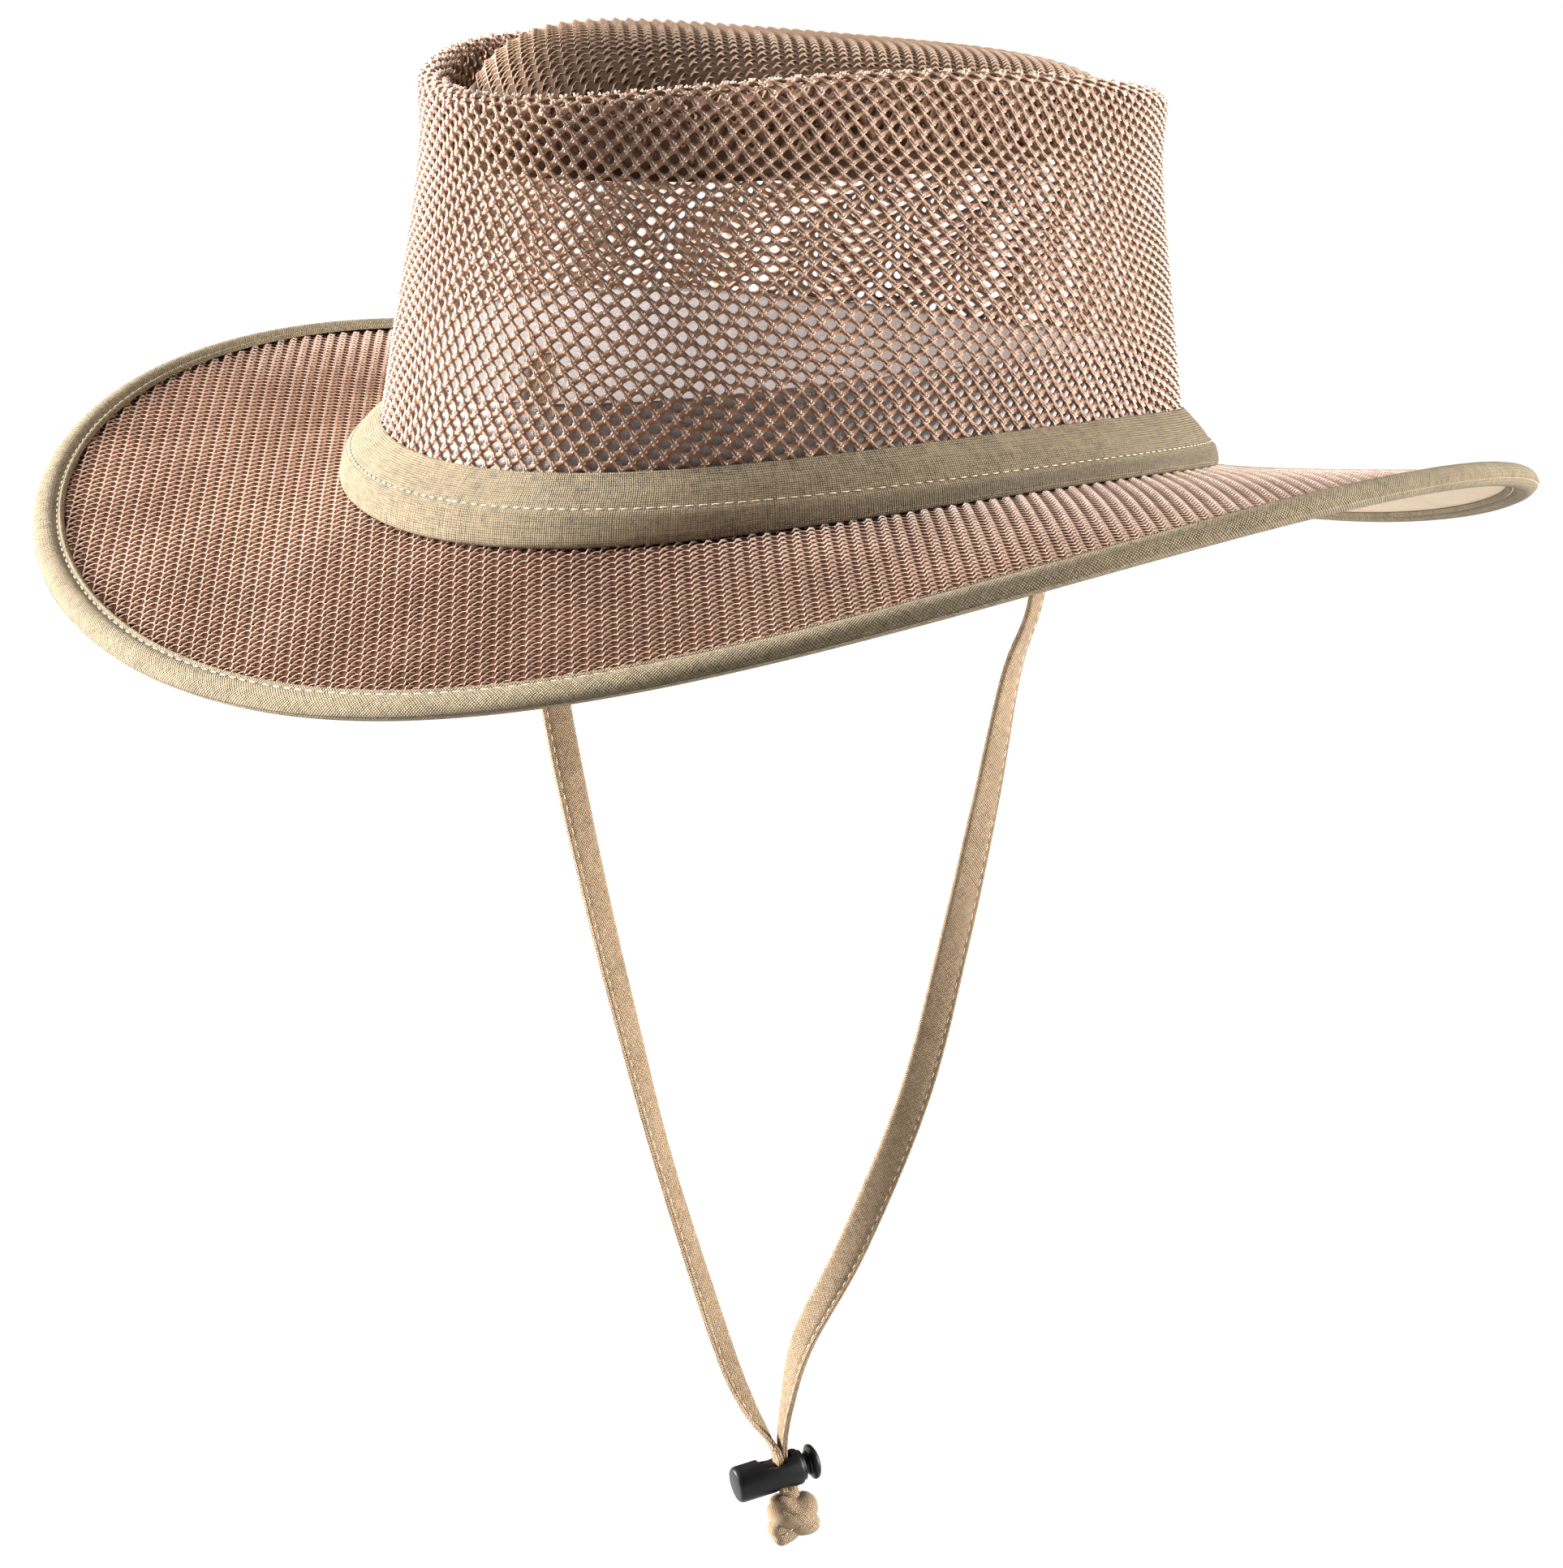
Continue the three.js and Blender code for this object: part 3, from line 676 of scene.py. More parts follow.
def sewn_row(name, seams, pitch, long, thick):
    """seams is a list of (points, ups): the line that a row of stitches follows, and its normals."""
    stitches = []
    shape = STITCH_POINTS * (long, thick, thick)
    for line, ups in seams:
        lengths = lengths_along(line)
        for place in np.arange(0.5 * pitch, lengths[-1], pitch):
            middle = along_line(place, lengths, line)
            run = unit(along_line(place + 0.3, lengths, line) - middle)
            side = unit(np.cross(along_line(place, lengths, ups), run))
            rise = np.cross(run, side)
            stitch = middle + shape[:, :1] * run + shape[:, 1:2] * side + shape[:, 2:] * rise
            stitches.append((stitch, STITCH_FACES))
    points, faces = joined(stitches)
    piece = copied_piece(name, points, faces, points[:, :2])
    sew(piece)
    print(name, len(stitches), "stitches")
    return piece


# %% [markdown]
# The chin strap is one long tape, folded lengthwise and stitched near its open edge. It leaves the
# hat inside the band on each side, hangs down under its own weight, twists a little, and both
# strands run through the cord lock into a knot. A tape is a loft of its folded section along the
# route. The route's points are the same as the solid's, and near the lock the left tape is turned
# to face the front a little more than the solid is.

# %% Chin strap: routes and folded section
STRAP_WIDE = 7.6
LOCK_CENTRE = Vector((5.2, 0, -245))
LOCK_AZIMUTH, LOCK_TILT = math.radians(63.2), math.radians(12.7)
LOCKED_APART, LOCKED_WIDE = 1.0, 4.2
KNOT_DROP, KNOT_HALF = 11, (6.7, 5.4, 5.8)
LOCKED_HEIGHTS = (5.7, 0, KNOT_HALF[2] - KNOT_DROP + GAP)
lock_place = (
    Matrix.Translation(LOCK_CENTRE)
    @ Matrix.Rotation(LOCK_AZIMUTH, 4, "Z")
    @ Matrix.Rotation(-LOCK_TILT, 4, "Y")
)
# Each row: the middle of the tape, the way that its width points in plan, and its width
LEFT_ROWS = [
    (-78.7, 0, 16, 90, 7.6), (-81.2, 0, 2, 90, 7.6), (-81.8, 0, -12, 88, 7.6),
    (-79.9, 0, -44, 74, 7.6), (-72.6, 0, -75, 62, 7.6), (-61.3, 0, -110, 78, 7.6),
    (-48.8, 0, -144, 90, 7.6), (-35, 0, -178, 100, 7.2), (-16, 0, -216.6, 92, 6.6),
    (-6.5, -0.3, -231, 98, 5.4),
]
RIGHT_ROWS = [
    (78.7, 0, 16, 90, 7.6), (81.2, 0, 2, 92, 7.6), (81.4, 0, -9, 100, 7.6),
    (78.5, 0, -26, 110, 7.6), (72.1, 0, -42, 100, 7.6), (65.1, 0, -73, 78, 7.6),
    (56, 0, -109, 58, 7.6), (45, 0, -146, 43, 7.6), (27, 0, -184.4, 25, 7.4),
    (11.3, 0, -211, 4, 6.6), (6.2, 0, -228, -17, 5.2),
]
# Half of the folded tape's outline: across from the open, stitched edge, and half its thickness
TAPE_HALF = [
    (3.45, 0.05), (3.8, 0.35), (3.3, 0.74), (2.65, 0.52), (1.95, 0.78), (0, 0.84), (-2.4, 0.8),
    (-3.5, 0.6), (-3.8, 0),
]
TAPE_OUTLINE = TAPE_HALF + [(side, -lift) for side, lift in TAPE_HALF[-2:0:-1]]
STITCH_SIDE, STITCH_LIFT = 2.65, 0.56


def locked_rows(side, width_turn):
    points = [lock_place @ Vector((side * LOCKED_APART, 0, height)) for height in LOCKED_HEIGHTS]
    return [(*point, width_turn, LOCKED_WIDE) for point in points]


def tape_frame(rows, share):
    """The tape's middle, its way across, its way through and its width, at shares of its route."""
    stops = np.repeat(np.array(rows)[:, None, :], len(share), axis=1)
    row = through(stops, share)
    ahead, behind = through(stops, share + 0.002), through(stops, share - 0.002)
    tangent = unit(ahead[:, :3] - behind[:, :3])
    turn = np.radians(row[:, 3])
    across = stack(np.cos(turn), np.sin(turn), 0 * turn)
    across = unit(across - tangent * np.sum(across * tangent, axis=1, keepdims=True))
    return row[:, :3], across, np.cross(tangent, across), row[:, 4:]


def chin_tape(name, rows, stitched_side):
    outline = np.array([(side * stitched_side, lift) for side, lift in TAPE_OUTLINE])

    def lay(along, across_share):
        middle, across, through_way, wide = tape_frame(rows, along)
        stops = np.repeat(outline[:, None, :], len(along), axis=1)
        section = through(stops, across_share, closed=True)
        return middle + across * section[:, :1] * wide / STRAP_WIDE + through_way * section[:, 1:]

    piece = laid_cloth(name, lay, along=190, across=26)
    edit_whole(piece)
    bpy.ops.mesh.region_to_loop()
    bpy.ops.mesh.edge_face_add()
    bpy.ops.object.mode_set(mode="OBJECT")
    return piece


def strap_seams(rows, stitched_side):
    middle, across, way, wide = tape_frame(rows, np.linspace(0.02, 0.94, 400))
    line = middle + across * stitched_side * STITCH_SIDE * wide / STRAP_WIDE
    return [(line + way * STITCH_LIFT, way), (line - way * STITCH_LIFT, -way)]


left_rows = LEFT_ROWS + locked_rows(-1, 153.2)
right_rows = RIGHT_ROWS + locked_rows(1, -26.8)
tape_left = chin_tape("chin_tape_left", left_rows, -1)
tape_right = chin_tape("chin_tape_right", right_rows, 1)
finish_piece(tape_left, tape_look, "strap_tape", "strap_left")
finish_piece(tape_right, tape_look, "strap_tape", "strap_right")
seams = strap_seams(left_rows, -1) + strap_seams(right_rows, 1)
strap_stitches = sewn_row("strap_stitches", seams, pitch=2.9, long=1.9, thick=0.34)
finish_piece(strap_stitches, stitch_look, "strap_tape")

# %% [markdown]
# The cord lock is a moulded barrel with a sprung plunger across it. The barrel and the plunger are
# turned shapes: a profile is drawn beside the axis and spun round it. The barrel's slot has flared
# mouths, cut with a wedge, so that the strap can be fed in.

# %% Cord lock: turned shapes and cuts
BARREL_PROFILE = [
    (-12.5, 0), (-12.5, 3.5), (-12.35, 4.0), (-11.9, 4.35), (-11.2, 4.5), (3.6, 4.5), (4.1, 4.3),
    (4.3, 3.85), (5.0, 3.75), (5.0, 3.4), (-9, 3.4), (-9, 0),
]
SLOT_OUTLINE, SLOT_DEEP = [(-2.2, -6), (2.2, -6), (2.2, 6), (-2.2, 6)], 5.0
MOUTH_DEEP = 12
TOP_MOUTH = [(-6.4, 5), (-4.5, 2.7), (-2.1, 2.3), (0.2, 2.7), (1.6, 5)]
BOTTOM_MOUTH = [(-4.4, -5), (-2.0, -3.0), (1.4, -3.6), (2.6, -5)]


def end_solid():
    """Merges the points that meet, turns the faces outward and leaves edit mode."""
    bpy.ops.mesh.select_all(action="SELECT")
    bpy.ops.mesh.remove_doubles(threshold=0.001)
    bpy.ops.mesh.normals_make_consistent(inside=False)
    bpy.ops.object.mode_set(mode="OBJECT")


def spun(name, profile, steps=40):
    """A profile of (along, radius) points spun round the X axis, in millimetres."""
    points = [(along, 0, radius) for along, radius in profile]
    edges = [(place, place + 1) for place in range(len(points) - 1)]
    piece = drawn_piece(name, points, edges, [])
    edit_whole(piece)
    bpy.ops.mesh.spin(steps=steps, angle=FULL_TURN, center=(0, 0, 0), axis=(1, 0, 0))
    end_solid()
    return piece


def prism(name, outline, depth):
    """An outline in X and Z, extruded along Y, to cut with."""
    points = [(x, -depth / 2, z) for x, z in outline]
    piece = drawn_piece(name, points, [], [tuple(range(len(points)))])
    edit_whole(piece)
    bpy.ops.mesh.extrude_region_move(TRANSFORM_OT_translate={"value": (0, depth, 0)})
    end_solid()
    return piece


def modify(piece, kind, **settings):
    select_only(piece)
    modifier = piece.modifiers.new(kind, kind)
    for name, value in settings.items():
        setattr(modifier, name, value)
    bpy.ops.object.modifier_apply(modifier=modifier.name)


def cut(piece, cutter):
    modify(piece, "BOOLEAN", object=cutter, operation="DIFFERENCE", solver="EXACT")
    bpy.data.objects.remove(cutter)


def soften(piece, width):
    limit = math.radians(35)
    modify(piece, "BEVEL", width=width, segments=2, limit_method="ANGLE", angle_limit=limit)
    bpy.ops.object.shade_smooth_by_angle(angle=math.radians(32))


def into_hat(piece, laid_in_metres=False):
    """From the lock's own axes in millimetres to the hat's in metres."""
    if laid_in_metres:
        piece.data.transform(Matrix.Scale(1 / MM, 4))
    piece.data.transform(Matrix.Scale(MM, 4) @ lock_place)
    piece.data.update()


barrel = spun("lock_barrel", BARREL_PROFILE)
cut(barrel, prism("slot_cutter", SLOT_OUTLINE, SLOT_DEEP))
cut(barrel, prism("top_mouth_cutter", TOP_MOUTH, MOUTH_DEEP))
cut(barrel, prism("bottom_mouth_cutter", BOTTOM_MOUTH, MOUTH_DEEP))
soften(barrel, 0.22)
into_hat(barrel)
finish_piece(barrel, plastic_look, "black_plastic", "toggle_barrel")
print("barrel", len(barrel.data.polygons), "faces")

# %% [markdown]
# The plunger is a turned pin with a domed button. The strap passes through a slot in it, and the
# spring pushes it out, so that the edges of the two slots grip the strap. A little of the spring
# shows through the barrel's mouth. It moves with the plunger and clears the barrel's closed end.

# %% Cord lock: plunger and spring
PLUNGER_PROFILE = [
    (-4.8, 0), (-4.8, 2.8), (-4.5, 3.1), (5.3, 3.1), (5.5, 2.5), (6.0, 2.5), (6.2, 3.0),
    (6.7, 3.1), (6.9, 4.0), (7.2, 4.35), (7.7, 4.35), (8.2, 4.15), (8.8, 3.0), (9.15, 1.4), (9.2, 0),
]
PLUNGER_SLOT, PLUNGER_SLOT_DEEP = [(-2.15, -6), (3.65, -6), (3.65, 6), (-2.15, 6)], 4.8
SPRING_FROM, SPRING_TO, SPRING_RADIUS, SPRING_WIRE, SPRING_COILS = -7.1, -5.0, 2.5, 0.28, 3

plunger = spun("lock_plunger", PLUNGER_PROFILE)
cut(plunger, prism("plunger_cutter", PLUNGER_SLOT, PLUNGER_SLOT_DEEP))
soften(plunger, 0.15)
into_hat(plunger)
finish_piece(plunger, plastic_look, "black_plastic", "toggle_plunger", body="plunger")


def spring_lay(along, across):
    angle = FULL_TURN * SPRING_COILS * along
    round_wire = FULL_TURN * across
    radius = SPRING_RADIUS + SPRING_WIRE * np.cos(round_wire)
    x = SPRING_FROM + (SPRING_TO - SPRING_FROM) * along + SPRING_WIRE * np.sin(round_wire)
    return stack(x, radius * np.cos(angle), radius * np.sin(angle))


spring = laid_cloth("lock_spring", spring_lay, along=24 * SPRING_COILS, across=6)
into_hat(spring, laid_in_metres=True)
finish_piece(spring, steel_look, "black_plastic", body="plunger")

# %% [markdown]
# Under the lock the two strands are tied in one tight knot. Tied tape makes a few plump shapes: a
# band that wraps the strands, a lump under it, and a stitched end that sticks out to one side. Each
# is a closed form shaped from a ball, pinched where cloth folds under its neighbour.

# %% The knot and its end
KNOT_PARTS = {
    # name: middle, half sizes, tilt in degrees about the lock's Y axis, squareness
    "wrap": ((0.4, 0, 1.0), (6.2, 5.2, 4.7), -10, 2.4),
    "lump": ((1.6, 0.2, -3.0), (4.9, 4.4, 3.0), -14, 2.3),
    "end": ((-3.2, -0.9, -3.1), (3.4, 2.7, 3.4), 14, 3.2),
    "strands": ((0.5, 0, 5.2), (2.4, 2.0, 3.0), 0, 2.4),
}
KNOT_ENTRY_DEEP = 1.5
KNOT_SEAM = [(-5.4, -3.1, -15.0), (-3.6, -3.75, -14.4), (-1.4, -3.7, -13.5)]


def rounded_ball(squareness):
    ball, points = new_ball(segments=44, rings=26, radius=1)
    size = np.sum(np.abs(points) ** squareness, axis=1, keepdims=True) ** (1 / squareness)
    return ball, points / size


def crease(points, normal, depth, wide):
    """Pinches the points towards the middle along the plane through it."""
    distance = points @ unit(np.array(normal, float))
    pinch = depth * np.exp(-((distance / wide) ** 2))
    return points - unit(points) * pinch[:, None]


def knot_form(name, middle, half, tilt, squareness):
    ball, points = rounded_ball(squareness)
    points = points * half
    if name == "wrap":
        points = crease(points, (0.35, 0.1, 1), 0.5, 0.45)
        entry = np.exp(-(((points[:, 0] - 0.2) / 2.6) ** 2)) * (points[:, 2] > 0)
        points[:, 2] -= KNOT_ENTRY_DEEP * entry
    if name == "end":
        points = crease(points, (0.1, 0, 1), 0.25, 0.4)
    turn = Matrix.Rotation(math.radians(-tilt), 3, "Y")
    points = points @ np.array(turn).T + middle + (0, 0, -KNOT_DROP)
    ball.data.vertices.foreach_set("co", points.ravel())
    uv = uv_of(ball.data) * (FULL_TURN * half[0], math.pi * half[2])
    ball.data.uv_layers[0].data.foreach_set("uv", uv.ravel())
    ball.name = "knot_" + name
    return ball


forms = [knot_form(name, *sizes) for name, sizes in KNOT_PARTS.items()]
bpy.ops.object.select_all(action="DESELECT")
for form in forms:
    form.select_set(True)
bpy.context.view_layer.objects.active = forms[0]
bpy.ops.object.join()
knot = bpy.context.object
knot.name = "tied_knot"
bpy.ops.object.shade_smooth()
into_hat(knot)
finish_piece(knot, tape_look, "strap_tape", "strap_knot")
seam = (np.array(KNOT_SEAM), np.tile((0.0, -1.0, 0.0), (len(KNOT_SEAM), 1)))
knot_stitches = sewn_row("knot_stitches", [seam], pitch=1.5, long=1.15, thick=0.32)
into_hat(knot_stitches, laid_in_metres=True)
finish_piece(knot_stitches, stitch_look, "strap_tape")

# %% [markdown]
# Each tape is told to the model as a cord: where it leaves the hat, how long it is, what it ends
# in, and which separate pieces hang on it.

# %% The two tapes as cords
CORD_POINTS = 36
carried = [barrel, plunger, spring, knot, knot_stitches]
for tape, rows, others in ((tape_left, left_rows, carried), (tape_right, right_rows, [])):
    middle = tape_frame(rows, np.linspace(0, 1, CORD_POINTS))[0] * MM
    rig.cord(
        tape,
        exit=middle[0],
        length=lengths_along(middle)[-1],
        diameter=STRAP_WIDE * MM,
        far_end="knot",
        stiffness="limp",
        lay="hanging",
        path=middle.tolist(),
        with_pieces=others,
    )
    print(tape.name, round(lengths_along(middle)[-1], 3), "m long")

# %% [markdown]
# The crown's net is knitted: rows of holes with a strand on each side. A plane with a picture of
# holes would look flat here, because the net is seen from both sides and against the light. One
# mesh of the net is modelled with its real hole, and two raised yarns and four short loops at its
# crossing. The sheet round the hole is coloured darker and browner than the raised yarns, as
# painted shade between them. A copy is laid at each step of the lattice, which closes exactly round
# the crown.

# %% One mesh of the net
NET_DOWN, NET_BACK = np.array((1.9, -2.78)), np.array((-2.5, -1.829))
NET_ROUND = 570.0
HOLE = [
    (1.30, -0.15), (1.02, 0.48), (0.50, 1.00), (-0.15, 0.95), (-0.85, 0.55),
    (-1.45, 0.15), (-0.95, -0.30), (-0.40, -0.78), (0.25, -1.04), (0.98, -0.68),
]
STRAND_MIDDLE_LIFT, HOLE_LIFT, BACK_LIFT = 0.0, -0.08, -0.95
CROSSING_LIFT, CHAIN_LIFT = 0.04, 0.0
YARN_SHARE, YARN_APART, YARN_RADIUS, YARN_LIFT = 0.42, 0.27, 0.29, 0.52
LOOP_REACH, LOOP_APART, LOOP_RADIUS, LOOP_LIFT = 0.66, 0.36, 0.31, 0.68


def net_border():
    """The ten points round one mesh of the net, and the height of the net's face there."""
    right = (NET_DOWN - NET_BACK) / 2
    top = -(NET_DOWN + NET_BACK) / 2
    points = [right, right - NET_DOWN / 3, right - 2 * NET_DOWN / 3, top, top + NET_BACK / 2]
    points += [-right, -right + NET_DOWN / 3, -right + 2 * NET_DOWN / 3, -top, -top - NET_BACK / 2]
    lifts = [CROSSING_LIFT, STRAND_MIDDLE_LIFT, STRAND_MIDDLE_LIFT, CROSSING_LIFT, CHAIN_LIFT] * 2
    return np.array(points), np.array(lifts)


def ring_faces(rings, around):
    """The faces that join rings of points, each ring to the next."""
    return [
        (low + place, low + around + place, low + around + after, low + after)
        for low in range(0, (rings - 1) * around, around)
        for place, after in zip(range(around), [*range(1, around), 0])
    ]


def net_mesh():
    border, lifts = net_border()
    hole = np.array(HOLE)
    count = len(hole)
    rings = [
        np.column_stack([border, np.full(count, BACK_LIFT)]),
        np.column_stack([hole, np.full(count, HOLE_LIFT)]),
        np.column_stack([border, lifts]),
    ]
    return np.concatenate(rings), ring_faces(len(rings), count)


def thread_tube(path, radii, sides, tip=False):
    """A thin thread through a few points. Its ends sink in or meet the next copy's; a tip is shut."""
    path = np.array(path, float)
    tangent = unit(np.gradient(path, axis=0))
    side = unit(np.cross(tangent, (0, 0, 1)))
    rise = np.cross(side, tangent)
    points, faces = [], ring_faces(len(radii), sides)
    angles = [FULL_TURN * (corner / sides + 0.25) for corner in range(sides)]
    for place, radius in enumerate(radii):
        ways = [math.cos(angle) * side[place] + math.sin(angle) * rise[place] for angle in angles]
        points += [path[place] + radius * way for way in ways]
    if tip:
        faces.append(tuple(range(len(points) - sides, len(points)))[::-1])
    return np.array(points), faces


def net_yarns():
    """Two yarns that run up from each crossing, and four short loops that stand out from it."""
    start = (NET_DOWN - NET_BACK) / 2
    down_side = unit(np.array((-NET_DOWN[1], NET_DOWN[0])))
    back = unit(np.array(NET_BACK))
    back_side = np.array((-back[1], back[0]))
    parts = []
    for way in (-1, 1):
        beside = start + way * YARN_APART * down_side
        yarn = [(*(beside - NET_DOWN * YARN_SHARE), -0.05), (*beside, YARN_LIFT)]
        parts.append(thread_tube(yarn, (0.6 * YARN_RADIUS, YARN_RADIUS), 3, tip=True))
        aside = way * LOOP_APART * back_side
        for end in (-LOOP_REACH, LOOP_REACH):
            loop = [(*(start + 0.3 * end * back + 0.6 * aside), 0.0)]
            loop.append((*(start + end * back + aside), LOOP_LIFT))
            parts.append(thread_tube(loop, (LOOP_RADIUS, 0.7 * LOOP_RADIUS), 3, tip=True))
    return parts


net_parts = [net_mesh(), *net_yarns()]
net_points, net_faces = joined(net_parts)
net_raised = [place >= len(net_parts[0][1]) for place in range(len(net_faces))]
print("one mesh of the net:", len(net_faces), "faces")

# %% [markdown]
# The net is laid on the crown by two lengths: `s` round the foot and `v` up the wall, over the
# rolled rim and down into the valley. Each point is lifted square to that surface. The net is kept
# as three pieces, a third of the way round each, so that no piece has too many faces.

# %% The net laid on the crown
NET_LOW, NET_HIGH = 8.0, 106.4
STEPS_AROUND, STEPS_BACK = 100, 152
NET_PIECES = 3
# The rolled rim, out from its oval and up: over the roll and down to the valley, whose height is
# set apart
RIM_ROLL = [
    (0.73 * ROLL_RADIUS, -0.3 * ROLL_DEPTH), (0, 0), (-0.8 * ROLL_RADIUS, -0.33 * ROLL_DEPTH),
    (-ROLL_RADIUS - 0.3, -ROLL_DEPTH), (1.4 - VALLEY_INSET, 0),
]


def crown_stops(turn):
    """The outer face of the crown, from its foot to the end of its rolled rim in the valley."""
    stops = [wall_point(turn, height, 0.0) for height in WAIST_HEIGHTS]
    stops += [rim_point(turn, *place) for place in RIM_ROLL]
    stops[-1][..., 2] = VALLEY_HEIGHT + GAP
    return np.array(stops)


all_turns = np.linspace(0, FULL_TURN, 721)
foot_lengths = lengths_along(foot_point(all_turns, 0, 0))
stop_lengths = np.mean(
    [lengths_along(crown_stops(all_turns)[:, place]) for place in range(0, 720, 40)], axis=0
)


def on_crown(s, v):
    turn = np.interp((s / NET_ROUND) % 1.0, foot_lengths / foot_lengths[-1], all_turns)
    place = np.interp(v, stop_lengths, np.arange(len(stop_lengths))) / (len(stop_lengths) - 1)
    return through(crown_stops(turn), place)


def lay_on_crown(points):
    s, v, lift = points.T
    up = np.cross(on_crown(s + 0.4, v) - on_crown(s - 0.4, v), on_crown(s, v + 0.4) - on_crown(s, v - 0.4))
    return on_crown(s, v) + unit(up) * lift[:, None]


def tiled(name, points, faces, places, lay):
    """Copies of one small mesh at flat places, sewn together and laid on the hat."""
    flat, corners = joined([(points + (*place, 0.0), faces) for place in places])
    piece = copied_piece(name, lay(flat), corners, flat[:, :2])
    sew(piece, outward=False)
    print(name, len(places), "copies,", len(piece.data.polygons), "faces")
    return piece


print("round the foot", round(foot_lengths[-1], 1), "up the wall and over", stop_lengths.round(1))
for third in range(NET_PIECES):
    places = []
    for down in range(-STEPS_BACK, STEPS_AROUND + 1):
        for back in range(-STEPS_BACK, STEPS_AROUND + STEPS_BACK):
            s, v = down * NET_DOWN - back * NET_BACK
            if NET_LOW <= v <= NET_HIGH and third <= s / NET_ROUND * NET_PIECES < third + 1:
                places.append((s, v))
    net = tiled(f"crown_net_{third + 1}", net_points, net_faces, places, lay_on_crown)
    # The sheet takes the painted shade colours, and the raised yarns the yarn's own.
    finish_piece(net, net_painted_shade_look, "net", "crown_side")
    net.data.materials.append(net_look)
    net.data.polygons.foreach_set("material_index", np.tile(net_raised, len(places)).astype("int32"))

# %% [markdown]
# The brim and the top of the crown are the same knit over a solid backing, so no light comes
# through. What shows is relief: a thin thread runs across and ends in a thick forked knot, over
# and over. The knots stand in rows that run over the whole brim and fan out a little, as the
# cloth was stretched when it was sewn. The ground is one sheet, coloured much darker than the yarn
# as painted shade under the raised threads. The raised thread is modelled once and laid along the
# rows, and pale cotton lines the brim from below.

# %% Brim ground and its raised threads
RIGHTWARD = np.array((math.cos(VIEW_TURN), math.sin(VIEW_TURN)))
AWAY = np.array((-math.sin(VIEW_TURN), math.cos(VIEW_TURN)))
ROW_STEP, RIB_STEP = np.array((3.12, 2.45)), np.array((0.0, -3.0))
FAN, FAN_START = 0.00038, -150.0
THREAD_PATH = [(0, 0, 0.45), (0.6, 1.35, 0.38), (1.5, 2.3, 0.2), (2.4, 2.0, 0.18), (3.12, 2.45, 0.45)]
THREAD_RADII = [0.29, 0.26, 0.21, 0.19, 0.29]
KNOT_PATH = [(-0.7, -1.05, 0.12), (0, 0, 0.76), (0.65, 0.35, 0.48), (1.35, 0.7, 0.05)]
KNOT_RADII = [0.2, 0.34, 0.26, 0.14]
GROUND_LIFT, LINING_THICK = 0.0, 0.5
BAND_COVERS, BINDING_COVERS = 4.0, 5.6
BINDING_SLOT_END = 2.3
RIB_ROWS, RIBS, PLAN_REACH = 90, 180, 190


def nearest_turn(x, y):
    """The turn of the foot oval from which a point of the plan lies straight outward."""
    turn = np.arctan2(x / FOOT_HALF[0], -y / FOOT_HALF[1])
    for _ in range(8):
        run_x, run_y = FOOT_HALF[0] * np.cos(turn), FOOT_HALF[1] * np.sin(turn)
        bend_x, bend_y = FOOT_HALF[0] * np.sin(turn), FOOT_HALF[1] * np.cos(turn)
        away_x, away_y = x - bend_x, y + bend_y
        error = away_x * run_x + away_y * run_y
        slope = away_y * bend_y - away_x * bend_x - run_x**2 - run_y**2
        turn = turn - error / slope
    return turn


def brim_share(x, y):
    """The turn and the share of the way from the brim's root to its edge, for points in plan."""
    turn = nearest_turn(x, y)
    root, edge = brim_root(turn)[:, :2], brim_edge(turn)[:, :2]
    reach = np.linalg.norm(edge - root, axis=1)
    out = np.sum((stack(x, y, 0)[:, :2] - root) * unit(edge - root), axis=1)
    return turn, out, reach


def to_plan(points):
    """The cloth's own places as places in the hat's plan. The rows fan out to the right."""
    right = points[:, :1] - FAN * points[:, 1:2] * (points[:, :1] - FAN_START)
    return right * RIGHTWARD + points[:, 1:2] * AWAY


def lay_on_brim(points):
    plan = to_plan(points)
    turn, out, reach = brim_share(plan[:, 0], plan[:, 1])
    edge, outward, up = brim_frame(turn)
    whole = np.linalg.norm(edge - brim_root(turn), axis=1)
    inward = whole * (1 - out / reach)
    return edge - outward * inward[:, None] + up * points[:, 2:]


def brim_layer(top, bottom):
    """The section of one layer of the brim, from under the sweatband out into the binding."""

    def stops(turn):
        outer = BINDING_SLOT_END + 0.4
        middle = -BRIM_ROOT_DROP - BRIM_THICK / 2
        places = [(inward, lift) for lift in (top, bottom) for inward in (0.6, 0.3, 0)]
        points = [brim_point(turn, max(share * BRIM_WIDTH, outer), lift) for share, lift in places]
        inner = [foot_point(turn, out, middle + lift) for lift in (bottom, top) for out in (0, -NET_THICK)]
        return [inner[3], inner[2], *points[:3], *points[:2:-1], inner[0], inner[1]]

    return stops


underside = -BRIM_THICK / 2
lining_top = underside + LINING_THICK
# The ground sheet takes the painted shade colours; the lining keeps its own pale cotton.
for name, top, bottom, look in (
    ("brim_ground", GROUND_LIFT, lining_top, brim_ground_painted_shade_look),
    ("brim_lining", lining_top, underside, lining_look),
):
    layer = wound_cloth(name, brim_layer(top, bottom), stations=200, steps=20)
    finish_piece(layer, look, "ribbed_mesh", "brim")

rib_points, rib_faces = joined([
    thread_tube(THREAD_PATH, THREAD_RADII, 3), thread_tube(KNOT_PATH, KNOT_RADII, 3)
])


def rib_grid(rows, ribs):
    steps = np.stack(np.meshgrid(np.arange(-rows, rows), np.arange(-ribs, ribs)), axis=-1)
    return steps.reshape(-1, 2) @ np.array([ROW_STEP, RIB_STEP])


